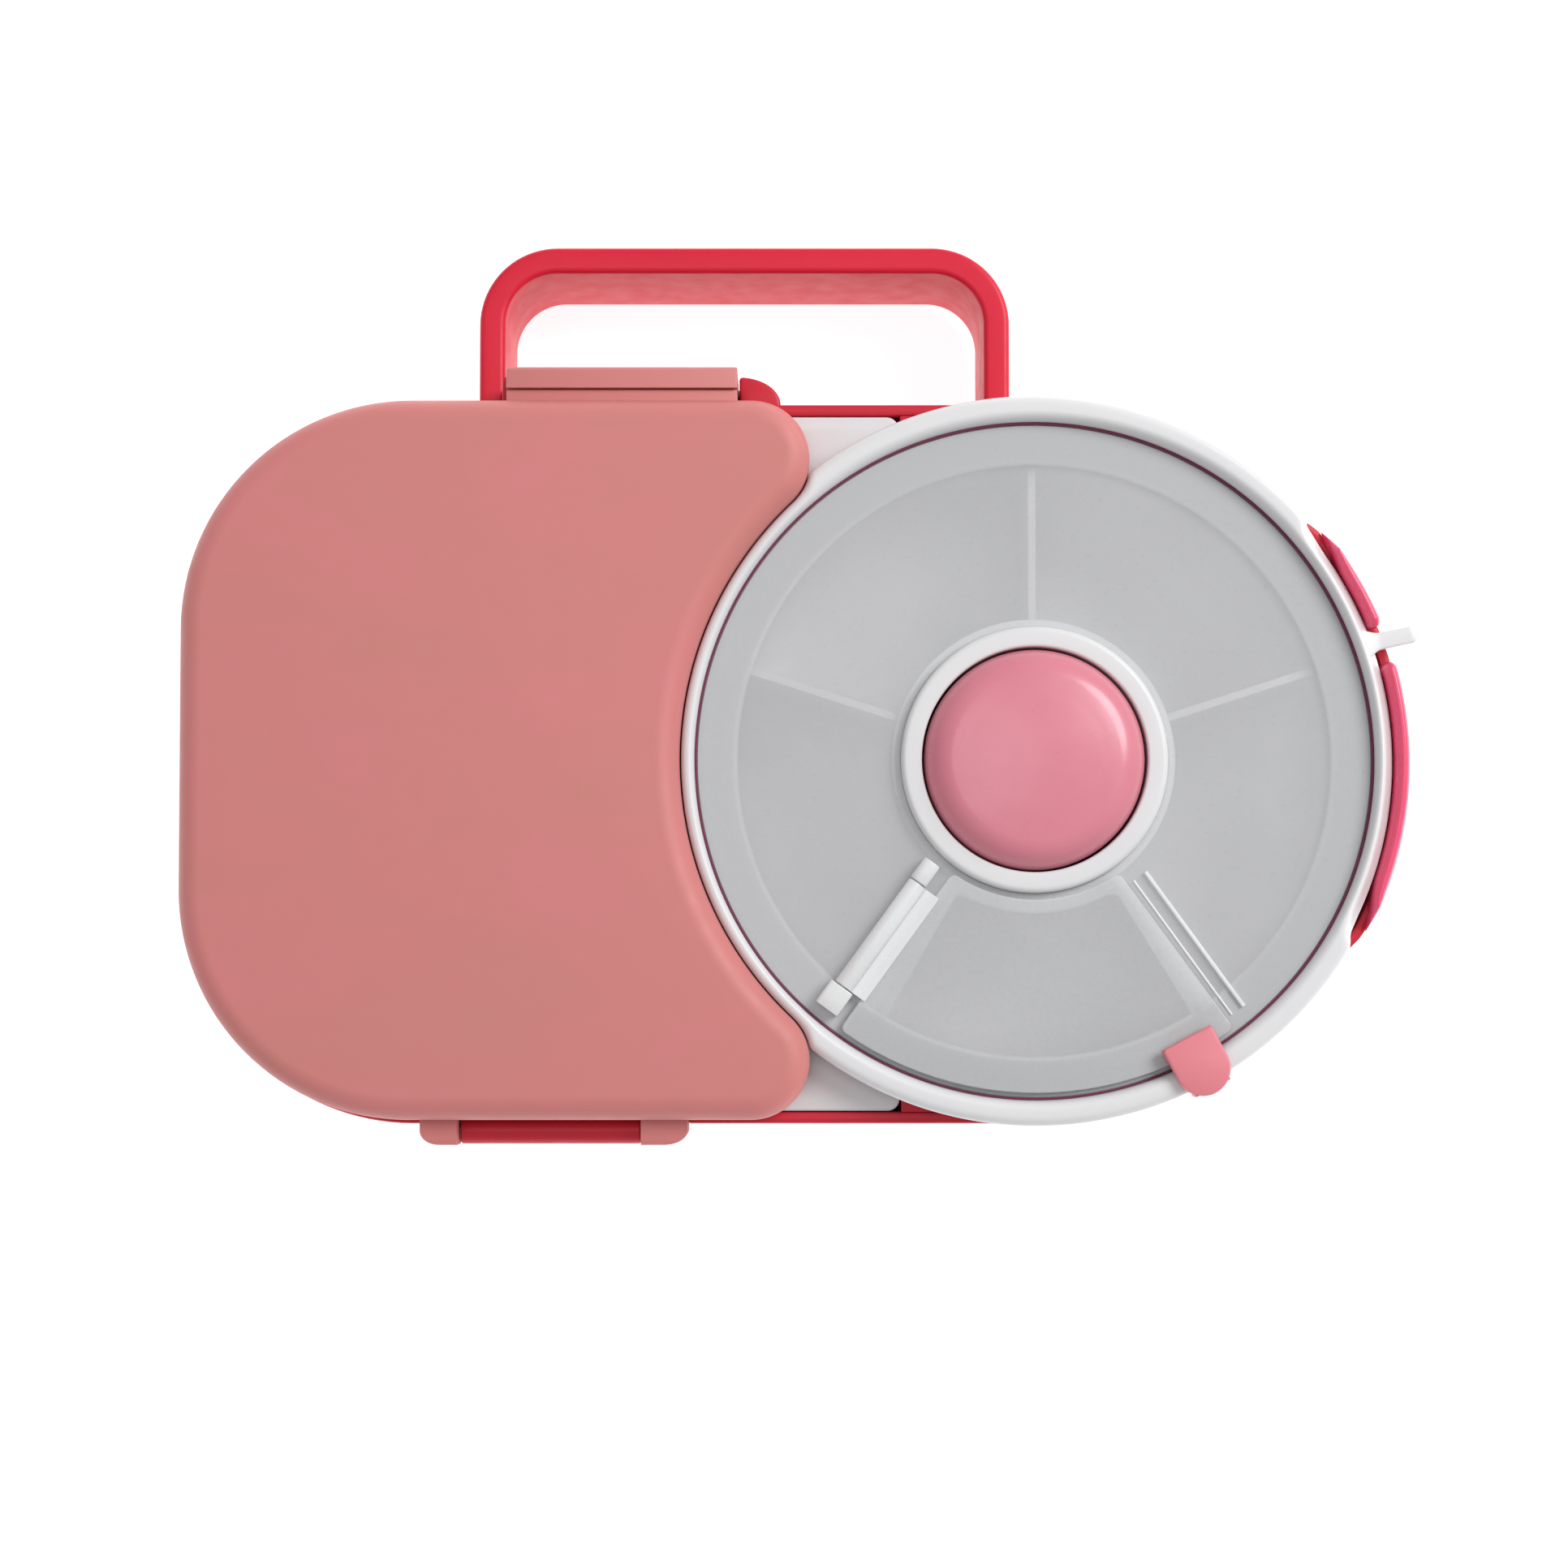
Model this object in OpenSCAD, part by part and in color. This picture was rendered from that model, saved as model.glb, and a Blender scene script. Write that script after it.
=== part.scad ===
// Snack-and-lunch box that lies flat: X runs along its length, +Y points to the carry
// handle and +Z points up through the lid. The origin is the centre of the underside.
// All sizes are in millimetres.

/* [Body] */
// Length of the tub
body_len = 252.6; // [240:1:270]
// Width of the tub without handle and hinge
body_wid = 149.6; // [149:0.2:152]
// Corner radius at the left end
corner_r = 47; // [30:1:60]
// Wall thickness of the tub
wall = 2.4; // [2.2:0.1:3]
// Height of the tub's rim
rim_z = 43; // [43:1:46]
// Radius along the tub's lower edge
foot_edge = 5; // [3:0.5:6]

/* [Lid] */
// Height of the lid's top face
lid_top = 56; // [55:1:60]
// Thickness of the lid's plate and skirt
lid_t = 2.2; // [1.8:0.1:2.6]
// Radius along the lid's upper edge
lid_edge = 5; // [3:0.5:6]
// Half of the lid's width
lid_half = 73.7; // [73.4:0.1:74.8]
// Radius of the concave edge that faces the spinner
arc_r = 72.8; // [72.6:0.1:73.2]
// Radius of the two rounded horns beside the spinner
horn_r = 12; // [10:0.5:13]

/* [Handle] */
// Left face of the carry handle
handle_x0 = -67.6; // [-70:0.5:-66]
// Right face of the carry handle
handle_x1 = 45.2; // [44:0.5:50]
// Outermost edge of the grip
handle_y = 111; // [106:0.5:118]
// Thickness of the band
band_t = 5.5; // [5:0.5:8]
// Depth of the band along Z
band_d = 28; // [20:1:28]
// Outer corner radius of the band
band_r = 16.5; // [12:0.5:20]

/* [Spinner] */
// Distance of the spinner's centre from the tub's centre
spin_x = 48.6; // [48:0.2:50]
// Outer radius of the spinner's ring
ring_r = 75; // [74.6:0.1:75.4]
// Inner radius of the ring, where the seal line lies
ring_in = 69.8; // [69.4:0.1:70]
// Height of the ring's crown
ring_top = 51.5; // [51:0.1:52]
// Number of snack compartments
pockets = 5; // [5:1:5]
// Thickness of the walls between compartments
divider_t = 1.7; // [1.4:0.1:2.4]
// Radius of the white collar around the button
collar_r = 27.4; // [27:0.1:28]
// Radius of the push button
button_r = 22.7; // [22.4:0.1:23]
// Height of the button's dome
button_top = 56.5; // [54:0.5:58]
// Travel of the push button
button_travel = 6; // [4:0.5:6]

/* [Door] */
// Direction of the door's hinge line
door_hinge_a = -126; // [-126:1:-126]
// Direction of the door's free edge
door_free_a = -54; // [-54:1:-54]
// Direction of the rim clip
clip_a = -62; // [-64:1:-60]
// Width of the rim clip
clip_w = 11.3; // [9:0.1:12]

/* [Hidden] */
$fn = 64;

gap = 0.3;        // clearance between pieces that move past each other
eps = 0.01;       // lets cutters break through a face
big = 400;        // longer than the whole object
run = 0.05;       // radial play of a pin in its bore

half_len = body_len / 2;
half_wid = body_wid / 2;
end_x = half_len - half_wid;      // centre of the round right end
floor_t = 2.4;
lid_z = rim_z + 0.4;              // underside of the lid's skirt
horn_y = lid_half - horn_r;
horn_x = spin_x - sqrt(pow(arc_r + horn_r, 2) - pow(horn_y, 2));
lid_gap = 0.6;                    // between the ring and the lid's concave edge

crimson = [0.80, 0.16, 0.26];
rose = [0.92, 0.43, 0.54];
salmon = [0.82, 0.51, 0.50];
white = [0.93, 0.93, 0.93];
clear = [0.80, 0.84, 0.86, 0.45];
magenta = [0.62, 0.16, 0.36];
steel = [0.70, 0.71, 0.73];
rubber = [0.35, 0.33, 0.34];

// ---------- helpers ----------

// Points along an arc, from angle a0 to a1
function arc(cx, cy, r, a0, a1, n) =
    [for (i = [0:n]) let (a = a0 + (a1 - a0) * i / n) [cx + r * cos(a), cy + r * sin(a)]];

// Points along a quarter of an ellipse, from the X side to the Y side
function quarter(cx, cy, rx, ry, n = 10) =
    [for (i = [0:n]) let (a = 90 * i / n) [cx + rx * cos(a), cy + ry * sin(a)]];

module at_spinner(z = 0) {
    translate([spin_x, 0, z]) children();
}

module tube(r_out, r_in, z0, z1, fn = 96) {
    translate([0, 0, z0])
        difference() {
            cylinder(r = r_out, h = z1 - z0, $fn = fn);
            translate([0, 0, -1]) cylinder(r = r_in, h = z1 - z0 + 2, $fn = fn);
        }
}

// A wedge in the XY plane between two directions
module wedge(a0, a1, r) {
    mid = (a0 + a1) / 2;
    polygon([[0, 0], r * [cos(a0), sin(a0)], 1.4 * r * [cos(mid), sin(mid)], r * [cos(a1), sin(a1)]]);
}

// A profile drawn in Y and Z, extruded along X from x0 to x1
module along_x(x0, x1) {
    translate([x0, 0, 0])
        rotate([90, 0, 90])
            linear_extrude(height = x1 - x0) children();
}

// A round bar along X
module rod_x(x0, x1, y, z, r) {
    translate([x0, y, z]) rotate([0, 90, 0]) cylinder(r = r, h = x1 - x0, $fn = 48);
}

// Plan of the tub, moved inwards by inset
module body_outline(inset) {
    for (side = [-1, 1])
        translate([corner_r - half_len, side * (half_wid - corner_r)])
            circle(r = corner_r - inset, $fn = 96);
    translate([inset - half_len, corner_r - half_wid])
        square([end_x + half_len - inset, 2 * (half_wid - corner_r)]);
    translate([corner_r - half_len, inset - half_wid])
        square([end_x + half_len - corner_r, 2 * (half_wid - inset)]);
    translate([end_x, 0]) circle(r = half_wid - inset, $fn = 144);
}

// Plan of the lid, moved inwards by inset: round corners at the left, and at the right
// two horns that run into a concave edge about the spinner's centre
module lid_outline(inset) {
    corner_x = corner_r - half_len;
    corner_y = lid_half - corner_r;
    turn = atan2(horn_y, spin_x - horn_x);
    polygon(concat(
        arc(horn_x, horn_y, horn_r - inset, -turn, 90, 20),
        arc(corner_x, corner_y, corner_r - inset, 90, 180, 24),
        arc(corner_x, -corner_y, corner_r - inset, 180, 270, 24),
        arc(horn_x, -horn_y, horn_r - inset, 270, 360 + turn, 20),
        arc(spin_x, 0, arc_r + inset, 180 + turn, 180 - turn, 48)));
}

// Plan of the spinner, trimmed where the lid's concave edge stands
module spinner_outline(r) {
    difference() {
        translate([spin_x, 0]) circle(r = r, $fn = 144);
        lid_outline(-lid_gap);
    }
}

// ---------- tub and what is fixed to it ----------

foot_r = 6;
foot_t = 1;
foot_spots = [[-92, 44], [-92, -44], [85, 42], [85, -42]];

leg_x = [handle_x0 + band_t / 2, handle_x1 - band_t / 2];
band_z = 4;
screw_z = [band_z + 8, band_z + 20];
screw_r = 1.3;
screw_head_r = 2.5;
screw_head_h = 1.2;
screw_len = 10;

latch_x = [-59.8, -12.4];      // ends of the flap
latch_y = half_wid + 3.2;      // latch axis
latch_z = 36;
latch_r = 2.8;
latch_out = 80.6;
pin_r = 1.2;
ear_x = [-61.5, -3.5];         // outer ends of the latch's ears
ear_z = 32;

hinge_y = -half_wid - 1.4;     // lid hinge axis
hinge_z = 41;
hinge_r = 2.8;
barrel_x = [-69.5, -32.4];
lid_ear_x = [-77.3, -22.5];
relief_r = hinge_r + 0.35;

guard_a = [-27, 38.5];         // directions between which the rim guard runs
guard_in = 74.3;
guard_top = 49.5;
notch_a = [15.6, 21.2];        // notch in the guard for the pull tab
notch_z = rim_z + 2.2;

// A flat disc with a rounded lower edge, for the tub's hull
module foot_puck(r) {
    translate([0, 0, foot_edge])
        rotate_extrude($fn = 96) translate([r - foot_edge, 0]) circle(r = foot_edge, $fn = 32);
    translate([0, 0, foot_edge]) cylinder(r = r, h = rim_z - foot_edge, $fn = 96);
}

module tub_block() {
    hull() {
        for (side = [-1, 1])
            translate([corner_r - half_len, side * (half_wid - corner_r), 0]) foot_puck(corner_r);
        translate([end_x, 0, 0]) foot_puck(half_wid);
    }
}

// Ears that carry the latch's pin
module latch_ears() {
    translate([0, 0, ear_z])
        linear_extrude(height = rim_z - ear_z) {
            translate([ear_x[0], half_wid - 1])
                square([latch_x[0] - gap - ear_x[0], latch_out - half_wid + 1]);
            x0 = latch_x[1] + gap;
            polygon(concat([[x0, half_wid - 1], [ear_x[1], half_wid - 1]],
                quarter(x0, half_wid, ear_x[1] - x0, latch_out - half_wid)));
        }
}

module base_shell() {
    color(crimson)
        difference() {
            union() {
                difference() {
                    tub_block();
                    translate([0, 0, floor_t])
                        linear_extrude(height = rim_z) body_outline(wall);
                }
                latch_ears();
                // barrel of the lid hinge, and the pad behind the reliefs
                rod_x(barrel_x[0], barrel_x[1], hinge_y, hinge_z, hinge_r);
                translate([lid_ear_x[0] - 2, -half_wid + wall / 2, hinge_z - 9])
                    cube([lid_ear_x[1] - lid_ear_x[0] + 4, wall / 2 + 1.2, 8.6]);
            }
            for (p = foot_spots)
                translate([p[0], p[1], -1]) cylinder(r = foot_r, h = 1 + foot_t);
            for (x = leg_x, z = screw_z)
                translate([x, half_wid + 1, z])
                    rotate([90, 0, 0]) cylinder(r = screw_r + 0.1, h = wall + 2, $fn = 32);
            rod_x(ear_x[0] - 1, -7.5, latch_y, latch_z, pin_r);
            rod_x(barrel_x[0] - 1, barrel_x[1] + 1, hinge_y, hinge_z, pin_r);
            rod_x(lid_ear_x[0] - gap, barrel_x[0], hinge_y, hinge_z, relief_r);
            rod_x(barrel_x[1], lid_ear_x[1] + gap, hinge_y, hinge_z, relief_r);
        }
}

module rim_guard() {
    color(rose)
        difference() {
            translate([0, 0, rim_z])
                linear_extrude(height = guard_top - rim_z)
                    intersection() {
                        body_outline(0);
                        translate([spin_x, 0]) wedge(guard_a[0], guard_a[1], 100);
                    }
            at_spinner(rim_z - 1) cylinder(r = guard_in, h = 20, $fn = 144);
            at_spinner(notch_z) linear_extrude(height = 20) wedge(notch_a[0], notch_a[1], 100);
        }
}

module non_slip_feet() {
    color(rubber)
        for (p = foot_spots)
            translate([p[0], p[1], 0]) cylinder(r = foot_r, h = foot_t);
}

// Plan of the handle's outer or inner edge
module band_plan(inset) {
    x0 = handle_x0 + inset;
    x1 = handle_x1 - inset;
    y1 = handle_y - inset;
    r = band_r - inset;
    translate([x0, half_wid]) square([x1 - x0, y1 - r - half_wid]);
    translate([x0 + r, half_wid]) square([x1 - x0 - 2 * r, y1 - half_wid]);
    for (x = [x0 + r, x1 - r])
        translate([x, y1 - r]) circle(r = r);
}

module handle() {
    color(crimson)
        difference() {
            translate([0, 0, band_z]) linear_extrude(height = band_d) band_plan(0);
            translate([0, -eps, band_z - 1]) linear_extrude(height = band_d + 2) band_plan(band_t);
            for (x = leg_x, z = screw_z)
                translate([x, half_wid + screw_len - wall, z])
                    rotate([90, 0, 0]) cylinder(r = screw_r, h = screw_len, $fn = 32);
        }
}

module handle_screws() {
    color(steel)
        for (x = leg_x, z = screw_z)
            translate([x, half_wid - wall, z]) {
                rotate([-90, 0, 0]) cylinder(r = screw_r, h = screw_len - 0.2, $fn = 32);
                rotate([90, 0, 0]) cylinder(r = screw_head_r, h = screw_head_h, $fn = 32);
            }
}

tray_top = rim_z - 0.2;
tray_flange = 1.6;
tray_wall = 1.6;
tray_inset = 5;
tray_x = 21.1;                 // right end of the flange's corners
flange_in = 70.4;              // the flange stops at this distance from the spinner's centre
basin_in = 74.5;
basin_x = -10;                 // the basin ends here, under the lid's horns

// Plan of the tray's basin, moved inwards by inset
module basin_plan(inset) {
    difference() {
        intersection() {
            body_outline(tray_inset + inset);
            translate([-big / 2, -big / 2]) square([big / 2 + basin_x - inset, big]);
        }
        translate([spin_x, 0]) circle(r = basin_in + inset, $fn = 144);
    }
}

// Plan of the flange that closes the gap between tub, lid and spinner
module flange_plan() {
    corner = 2.5;
    difference() {
        intersection() {
            body_outline(wall + 0.2);
            union() {
                translate([-big / 2, -big / 2]) square([big / 2 + tray_x - corner, big]);
                translate([-big / 2, wall + 0.2 + corner - half_wid])
                    square([big / 2 + tray_x, body_wid - 2 * (wall + 0.2 + corner)]);
                for (side = [-1, 1])
                    translate([tray_x - corner, side * (half_wid - wall - 0.2 - corner)])
                        circle(r = corner, $fn = 32);
            }
        }
        translate([spin_x, 0]) circle(r = flange_in, $fn = 144);
    }
}

// Inner walls that part the basin into four compartments
module basin_walls() {
    t = tray_wall;
    translate([-62 - t / 2, -half_wid]) square([t, body_wid]);
    translate([-62, -t / 2]) square([big / 4, t]);
    translate([-half_len, 14]) square([half_len - 62, t]);
}

module bento_tray() {
    color(white)
        difference() {
            union() {
                translate([0, 0, floor_t]) linear_extrude(height = tray_top - floor_t) basin_plan(0);
                translate([0, 0, tray_top - tray_flange])
                    linear_extrude(height = tray_flange) flange_plan();
            }
            translate([0, 0, floor_t + tray_wall])
                linear_extrude(height = rim_z)
                    difference() {
                        basin_plan(tray_wall);
                        basin_walls();
                    }
        }
}

module lid_hinge_pin() {
    color(steel) rod_x(lid_ear_x[0] + 1.8, lid_ear_x[1] - 2.6, hinge_y, hinge_z, pin_r);
}

// ---------- lunch lid ----------

catch_z = rim_z + 2.5;
catch_h = 6;

// A flat disc with a rounded upper edge, for the lid's hull
module lid_puck(r) {
    translate([0, 0, lid_top - lid_edge])
        rotate_extrude($fn = 96) translate([r - lid_edge, 0]) circle(r = lid_edge, $fn = 32);
    translate([0, 0, lid_z]) cylinder(r = r, h = lid_top - lid_edge - lid_z, $fn = 96);
}

// The lid's solid before it is hollowed
module lid_block() {
    intersection() {
        hull()
            for (x = [corner_r - half_len, end_x], y = [lid_half - corner_r, corner_r - lid_half])
                translate([x, y, 0]) lid_puck(corner_r);
        translate([0, 0, lid_z - 1]) linear_extrude(height = lid_top) lid_outline(0);
    }
}

// One ear of the lid hinge, rounded towards its outer end
module lid_ear(x0, x1, out_x) {
    top = lid_z + 5;
    out_y = hinge_y - hinge_r;
    depth = 3;
    x_in = (out_x == x0) ? x1 : x0;
    intersection() {
        along_x(x0, x1) {
            translate([hinge_y, hinge_z]) circle(r = hinge_r, $fn = 48);
            translate([out_y, hinge_z]) square([hinge_r, top - hinge_z]);
            translate([out_y, lid_z]) square([-lid_half + 1 - out_y, top - lid_z]);
        }
        translate([0, 0, hinge_z - 5])
            linear_extrude(height = 20)
                polygon(concat([[x_in, out_y - 1], [x_in, -lid_half + 4], [out_x, -lid_half + 4]],
                    [for (p = quarter(0, 0, 1, 1))
                        [out_x + (x_in - out_x) * 0.5 * (1 - p[0]), out_y + depth * (1 - p[1])]]));
    }
}

module lid_shell() {
    color(salmon)
        difference() {
            union() {
                difference() {
                    lid_block();
                    translate([0, 0, lid_z - 1])
                        linear_extrude(height = lid_top - lid_t - lid_z + 1) lid_outline(lid_t);
                }
                lid_ear(lid_ear_x[0], barrel_x[0] - gap, lid_ear_x[0]);
                lid_ear(barrel_x[1] + gap, lid_ear_x[1], lid_ear_x[1]);
                // ledge that the latch's lip faces
                along_x(latch_x[0], latch_x[1])
                    translate([lid_half - 1, catch_z])
                        square([half_wid + 2.2 - lid_half, catch_h]);
            }
            rod_x(lid_ear_x[0] + 1.6, lid_ear_x[1] - 2.4, hinge_y, hinge_z, pin_r + run);
            rod_x(barrel_x[0] - gap, barrel_x[1] + gap, hinge_y, hinge_z, relief_r);
        }
}

liner_z = lid_z + 1.2;
liner_t = 1.6;
rim_w = 6;                     // width of the gasket on the tray's flange
gasket_z = tray_top + 0.3;

module lid_liner() {
    color(white)
        translate([0, 0, liner_z])
            linear_extrude(height = liner_t) lid_outline(lid_t);
}

module lid_gasket() {
    color([0.90, 0.88, 0.86])
        translate([0, 0, gasket_z])
            linear_extrude(height = liner_z - gasket_z)
                difference() {
                    lid_outline(lid_t + 0.4);
                    lid_outline(lid_t + 0.4 + 0.5 * rim_w);
                }
}

// ---------- latch ----------

module latch_flap() {
    lip_y = half_wid + 1.5;
    top = lid_top - 3.5;
    edge = 1.8;
    color(salmon)
        difference() {
            along_x(latch_x[0], latch_x[1]) {
                translate([latch_y, latch_z]) circle(r = latch_r, $fn = 48);
                translate([latch_y - 0.8, latch_z]) square([latch_out - latch_y + 0.8, top - edge - latch_z]);
                translate([lip_y, top - 4.5]) square([latch_out - edge - lip_y, 4.5]);
                translate([latch_out - edge, top - edge]) circle(r = edge, $fn = 32);
            }
            rod_x(latch_x[0] - 1, latch_x[1] + 1, latch_y, latch_z, pin_r + run);
        }
}

module latch_pin() {
    color(steel) rod_x(ear_x[0], -7.6, latch_y, latch_z, pin_r);
}

// ---------- spinner: housing and drive ----------

cup_z = floor_t + 0.4;
cup_t = 2;
cup_r = 69.3;
cup_in = cup_r - 2;
cup_rim = rim_z + 0.3;         // underside of the housing's rim
cup_rim_t = 1.7;
cup_rim_r = 73.9;
guard_clear = guard_in - 0.35; // keeps the spinner clear of the rim guard

post_r = 6.5;
post_top = 34;
post_bore = 4.5;
post_foot_r = 10;
post_head_r = 3;
post_head_h = 0.9;
post_screw_len = 9.2;
spring_z = 14;

tray_z = 8;                    // underside of the snack tray
tray_r = 64.4;
tray_t = 1.6;                  // floor and outer wall of the snack tray
hub_boss_h = 7;
hub_out = 26.4;
hub_in = 24.6;
tray_rim = 40.5;
divider_top = 44.4;
sleeve_r = 8.3;

cam_r = 12.6;
cam_z = [19, 42];
cam_starts = pockets;
follower_r = [13.3, 15.3];
pin_z = 27;
peg_r = 1;

// Takes away what would touch the rim guard
module clear_of_guard(z0, z1) {
    at_spinner(z0)
        difference() {
            linear_extrude(height = z1 - z0) wedge(guard_a[0] - 1.2, guard_a[1] + 1.2, 100);
            translate([0, 0, -1]) cylinder(r = guard_clear, h = z1 - z0 + 2, $fn = 144);
        }
}

module spinner_housing() {
    color(white)
        difference() {
            union() {
                at_spinner() tube(cup_r, cup_in, cup_z, cup_rim + cup_rim_t, 144);
                at_spinner(cup_z) cylinder(r = cup_r, h = cup_t, $fn = 144);
                translate([0, 0, cup_rim])
                    linear_extrude(height = cup_rim_t)
                        difference() {
                            spinner_outline(cup_rim_r);
                            translate([spin_x, 0]) circle(r = cup_in, $fn = 144);
                        }
            }
            clear_of_guard(cup_rim - 1, cup_rim + 5);
            at_spinner(cup_z - 1) cylinder(r = screw_r + 0.2, h = 5, $fn = 32);
            at_spinner(cup_z - 1) cylinder(r = post_head_r + 0.2, h = post_head_h + 1, $fn = 32);
        }
}

module centre_post() {
    shoulder = tray_z - 0.25;
    color(white)
        at_spinner()
            difference() {
                union() {
                    translate([0, 0, cup_z + cup_t]) cylinder(r = post_foot_r, h = shoulder - cup_z - cup_t);
                    translate([0, 0, shoulder - 1]) cylinder(r = post_r, h = post_top - shoulder + 1);
                }
                translate([0, 0, spring_z]) cylinder(r = post_bore, h = post_top);
                translate([0, 0, cup_z]) cylinder(r = screw_r, h = post_screw_len + 0.2, $fn = 32);
            }
}

module post_screw() {
    color(steel)
        at_spinner(cup_z) {
            cylinder(r = post_head_r, h = post_head_h, $fn = 32);
            cylinder(r = screw_r, h = post_screw_len, $fn = 32);
        }
}

index_r = [17, 20.5];          // ring and tooth tips of the index wheel
index_z = [5.9, tray_z];
index_in = 12.5;
pawl_a = 118;                  // direction in which the pawl meets the wheel

// A wheel with one saw tooth for each compartment
module index_wheel() {
    pitch = 360 / pockets;
    steps = 6;
    color([0.86, 0.86, 0.88])
        at_spinner(index_z[0])
            linear_extrude(height = index_z[1] - index_z[0])
                difference() {
                    polygon([for (k = [0:pockets - 1], i = [0:steps])
                        let (a = pitch * (k + i / steps) - 0.001 * i,
                             r = index_r[0] + (index_r[1] - index_r[0]) * i / steps)
                        r * [cos(a), sin(a)]]);
                    circle(r = index_in, $fn = 64);
                }
}

// A sprung arm on the housing's floor that rides past the wheel's teeth
module index_pawl() {
    tip = index_r[1] + gap;
    color([0.86, 0.86, 0.88])
        at_spinner(cup_z + cup_t)
            rotate([0, 0, pawl_a]) {
                translate([tip, -1.5, 0]) cube([2, 3, index_z[1] - cup_z - cup_t - 0.5]);
                translate([tip + 0.8, -14, 0.5]) cube([1.2, 13, index_z[1] - cup_z - cup_t - 1]);
                translate([tip - 0.4, -20, 0]) cube([4.5, 7, 2.2]);
            }
}

module snack_tray() {
    color(white)
        at_spinner() {
            difference() {
                union() {
                    translate([0, 0, tray_z]) cylinder(r = tray_r, h = tray_t, $fn = 144);
                    tube(tray_r, tray_r - tray_t, tray_z, tray_rim, 144);
                    tube(hub_out, hub_in, tray_z, divider_top);
                    translate([0, 0, tray_z]) cylinder(r = sleeve_r, h = hub_boss_h);
                    for (k = [0:pockets - 1])
                        rotate([0, 0, 90 + 360 / pockets * k])
                            translate([hub_in + 0.6, -divider_t / 2, tray_z])
                                cube([tray_r - 1.2 - hub_in, divider_t, tray_rim - tray_z]);
                    for (k = [0:pockets - 1])
                        rotate([0, 0, 90 + 360 / pockets * k])
                            translate([hub_in + 0.6, -divider_t / 2, tray_rim - 1])
                                cube([tray_r - 3 - hub_in, divider_t, divider_top - tray_rim + 1]);
                }
                translate([0, 0, tray_z - 1]) cylinder(r = post_r + run, h = 12);
            }
        }
}

// A tube on the tray with one inward peg for each start of the cam
module cam_follower() {
    floor_z = tray_z + tray_t;
    color([0.86, 0.86, 0.88])
        at_spinner() {
            tube(follower_r[1], follower_r[0], floor_z, pin_z + 3);
            for (k = [0:cam_starts - 1])
                rotate([0, 0, 360 / cam_starts * k])
                    translate([cam_r - 0.9, 0, pin_z])
                        rotate([0, 90, 0]) cylinder(r = peg_r, h = 2.2, $fn = 24);
        }
}

// ---------- spinner: button ----------

skirt_t = 1.8;
skirt_z = 37;
crown_z = 47;                  // underside of the button's crown

module push_button() {
    roll = 3.5;
    dome_z = button_top - 4.5;
    span = button_r - roll;
    dome_r = (span * span + pow(button_top - dome_z - roll, 2)) / (2 * (button_top - dome_z - roll));
    tilt = asin(span / dome_r);
    color(rose)
        at_spinner() {
            rotate_extrude($fn = 96)
                polygon(concat(
                    [[0, crown_z], [button_r, crown_z]],
                    arc(button_r - roll, dome_z, roll, 0, 90 - tilt, 6),
                    [for (i = [1:7]) let (a = tilt * (1 - i / 8))
                        [dome_r * sin(a), button_top - dome_r * (1 - cos(a))]],
                    [[0, button_top]]));
            tube(button_r, button_r - skirt_t, skirt_z, crown_z + 0.5);
            tube(sleeve_r, post_r + run, post_top - 6, crown_z + 0.5);
        }
}

// A tube with one helical groove for each compartment, which turns the tray as it sinks
module cam_sleeve() {
    pitch = 360 / cam_starts;
    groove = 3;                // height of a groove
    lead = button_travel * cam_starts;
    span = cam_z[1] - cam_z[0] + 2;
    width = groove / lead * 360;
    color([0.86, 0.86, 0.88])
        at_spinner()
            difference() {
                tube(cam_r, sleeve_r + 0.6, cam_z[0], cam_z[1]);
                translate([0, 0, cam_z[0] - 1])
                    linear_extrude(height = span, twist = -360 * span / lead, slices = 24, $fn = 12)
                        for (k = [0:cam_starts - 1])
                            rotate([0, 0, pitch * k - 360 * (pin_z - cam_z[0] + 1) / lead - width / 2])
                                groove_plan(width);
            }
}

// Plan of one groove: a slice of a ring
module groove_plan(width) {
    deep = cam_r - 1.5;
    polygon(concat(arc(0, 0, deep, 0, width, 3), arc(0, 0, cam_r + 1, width, 0, 3)));
}

// Wire swept along a helix; both ends are closed by flat caps
module button_spring() {
    wire = 0.45;
    coil_r = 3.5;
    turns = 9;
    per_turn = 16;
    sides = 8;
    z0 = spring_z + wire;
    z1 = crown_z - wire - 0.1;
    rings = turns * per_turn;
    points = [for (i = [0:rings], j = [0:sides - 1])
        let (a = 360 * i / per_turn, b = 360 * j / sides, r = coil_r + wire * cos(b))
        [r * cos(a), r * sin(a), z0 + (z1 - z0) * i / rings + wire * sin(b)]];
    walls = [for (i = [0:rings - 1], j = [0:sides - 1])
        let (p = i * sides + j, q = i * sides + (j + 1) % sides)
        each [[p, q, q + sides], [p, q + sides, p + sides]]];
    color(steel)
        at_spinner()
            polyhedron(points, concat(walls,
                [[for (j = [sides - 1:-1:0]) j], [for (j = [0:sides - 1]) rings * sides + j]]));
}

// ---------- spinner: ring lid ----------

ring_z = cup_rim + cup_rim_t + gap;
ledge_z = ring_z + 1.3;
window_z = ledge_z;
window_t = 1.6;
window_r = ring_in - 0.7;
scoop_a = [-27, 37];
scoop_in = 71.2;
plug_r = [65.2, 66.9];         // skirt of the ring, which plugs into the housing
plug_h = 3.6;

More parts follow.
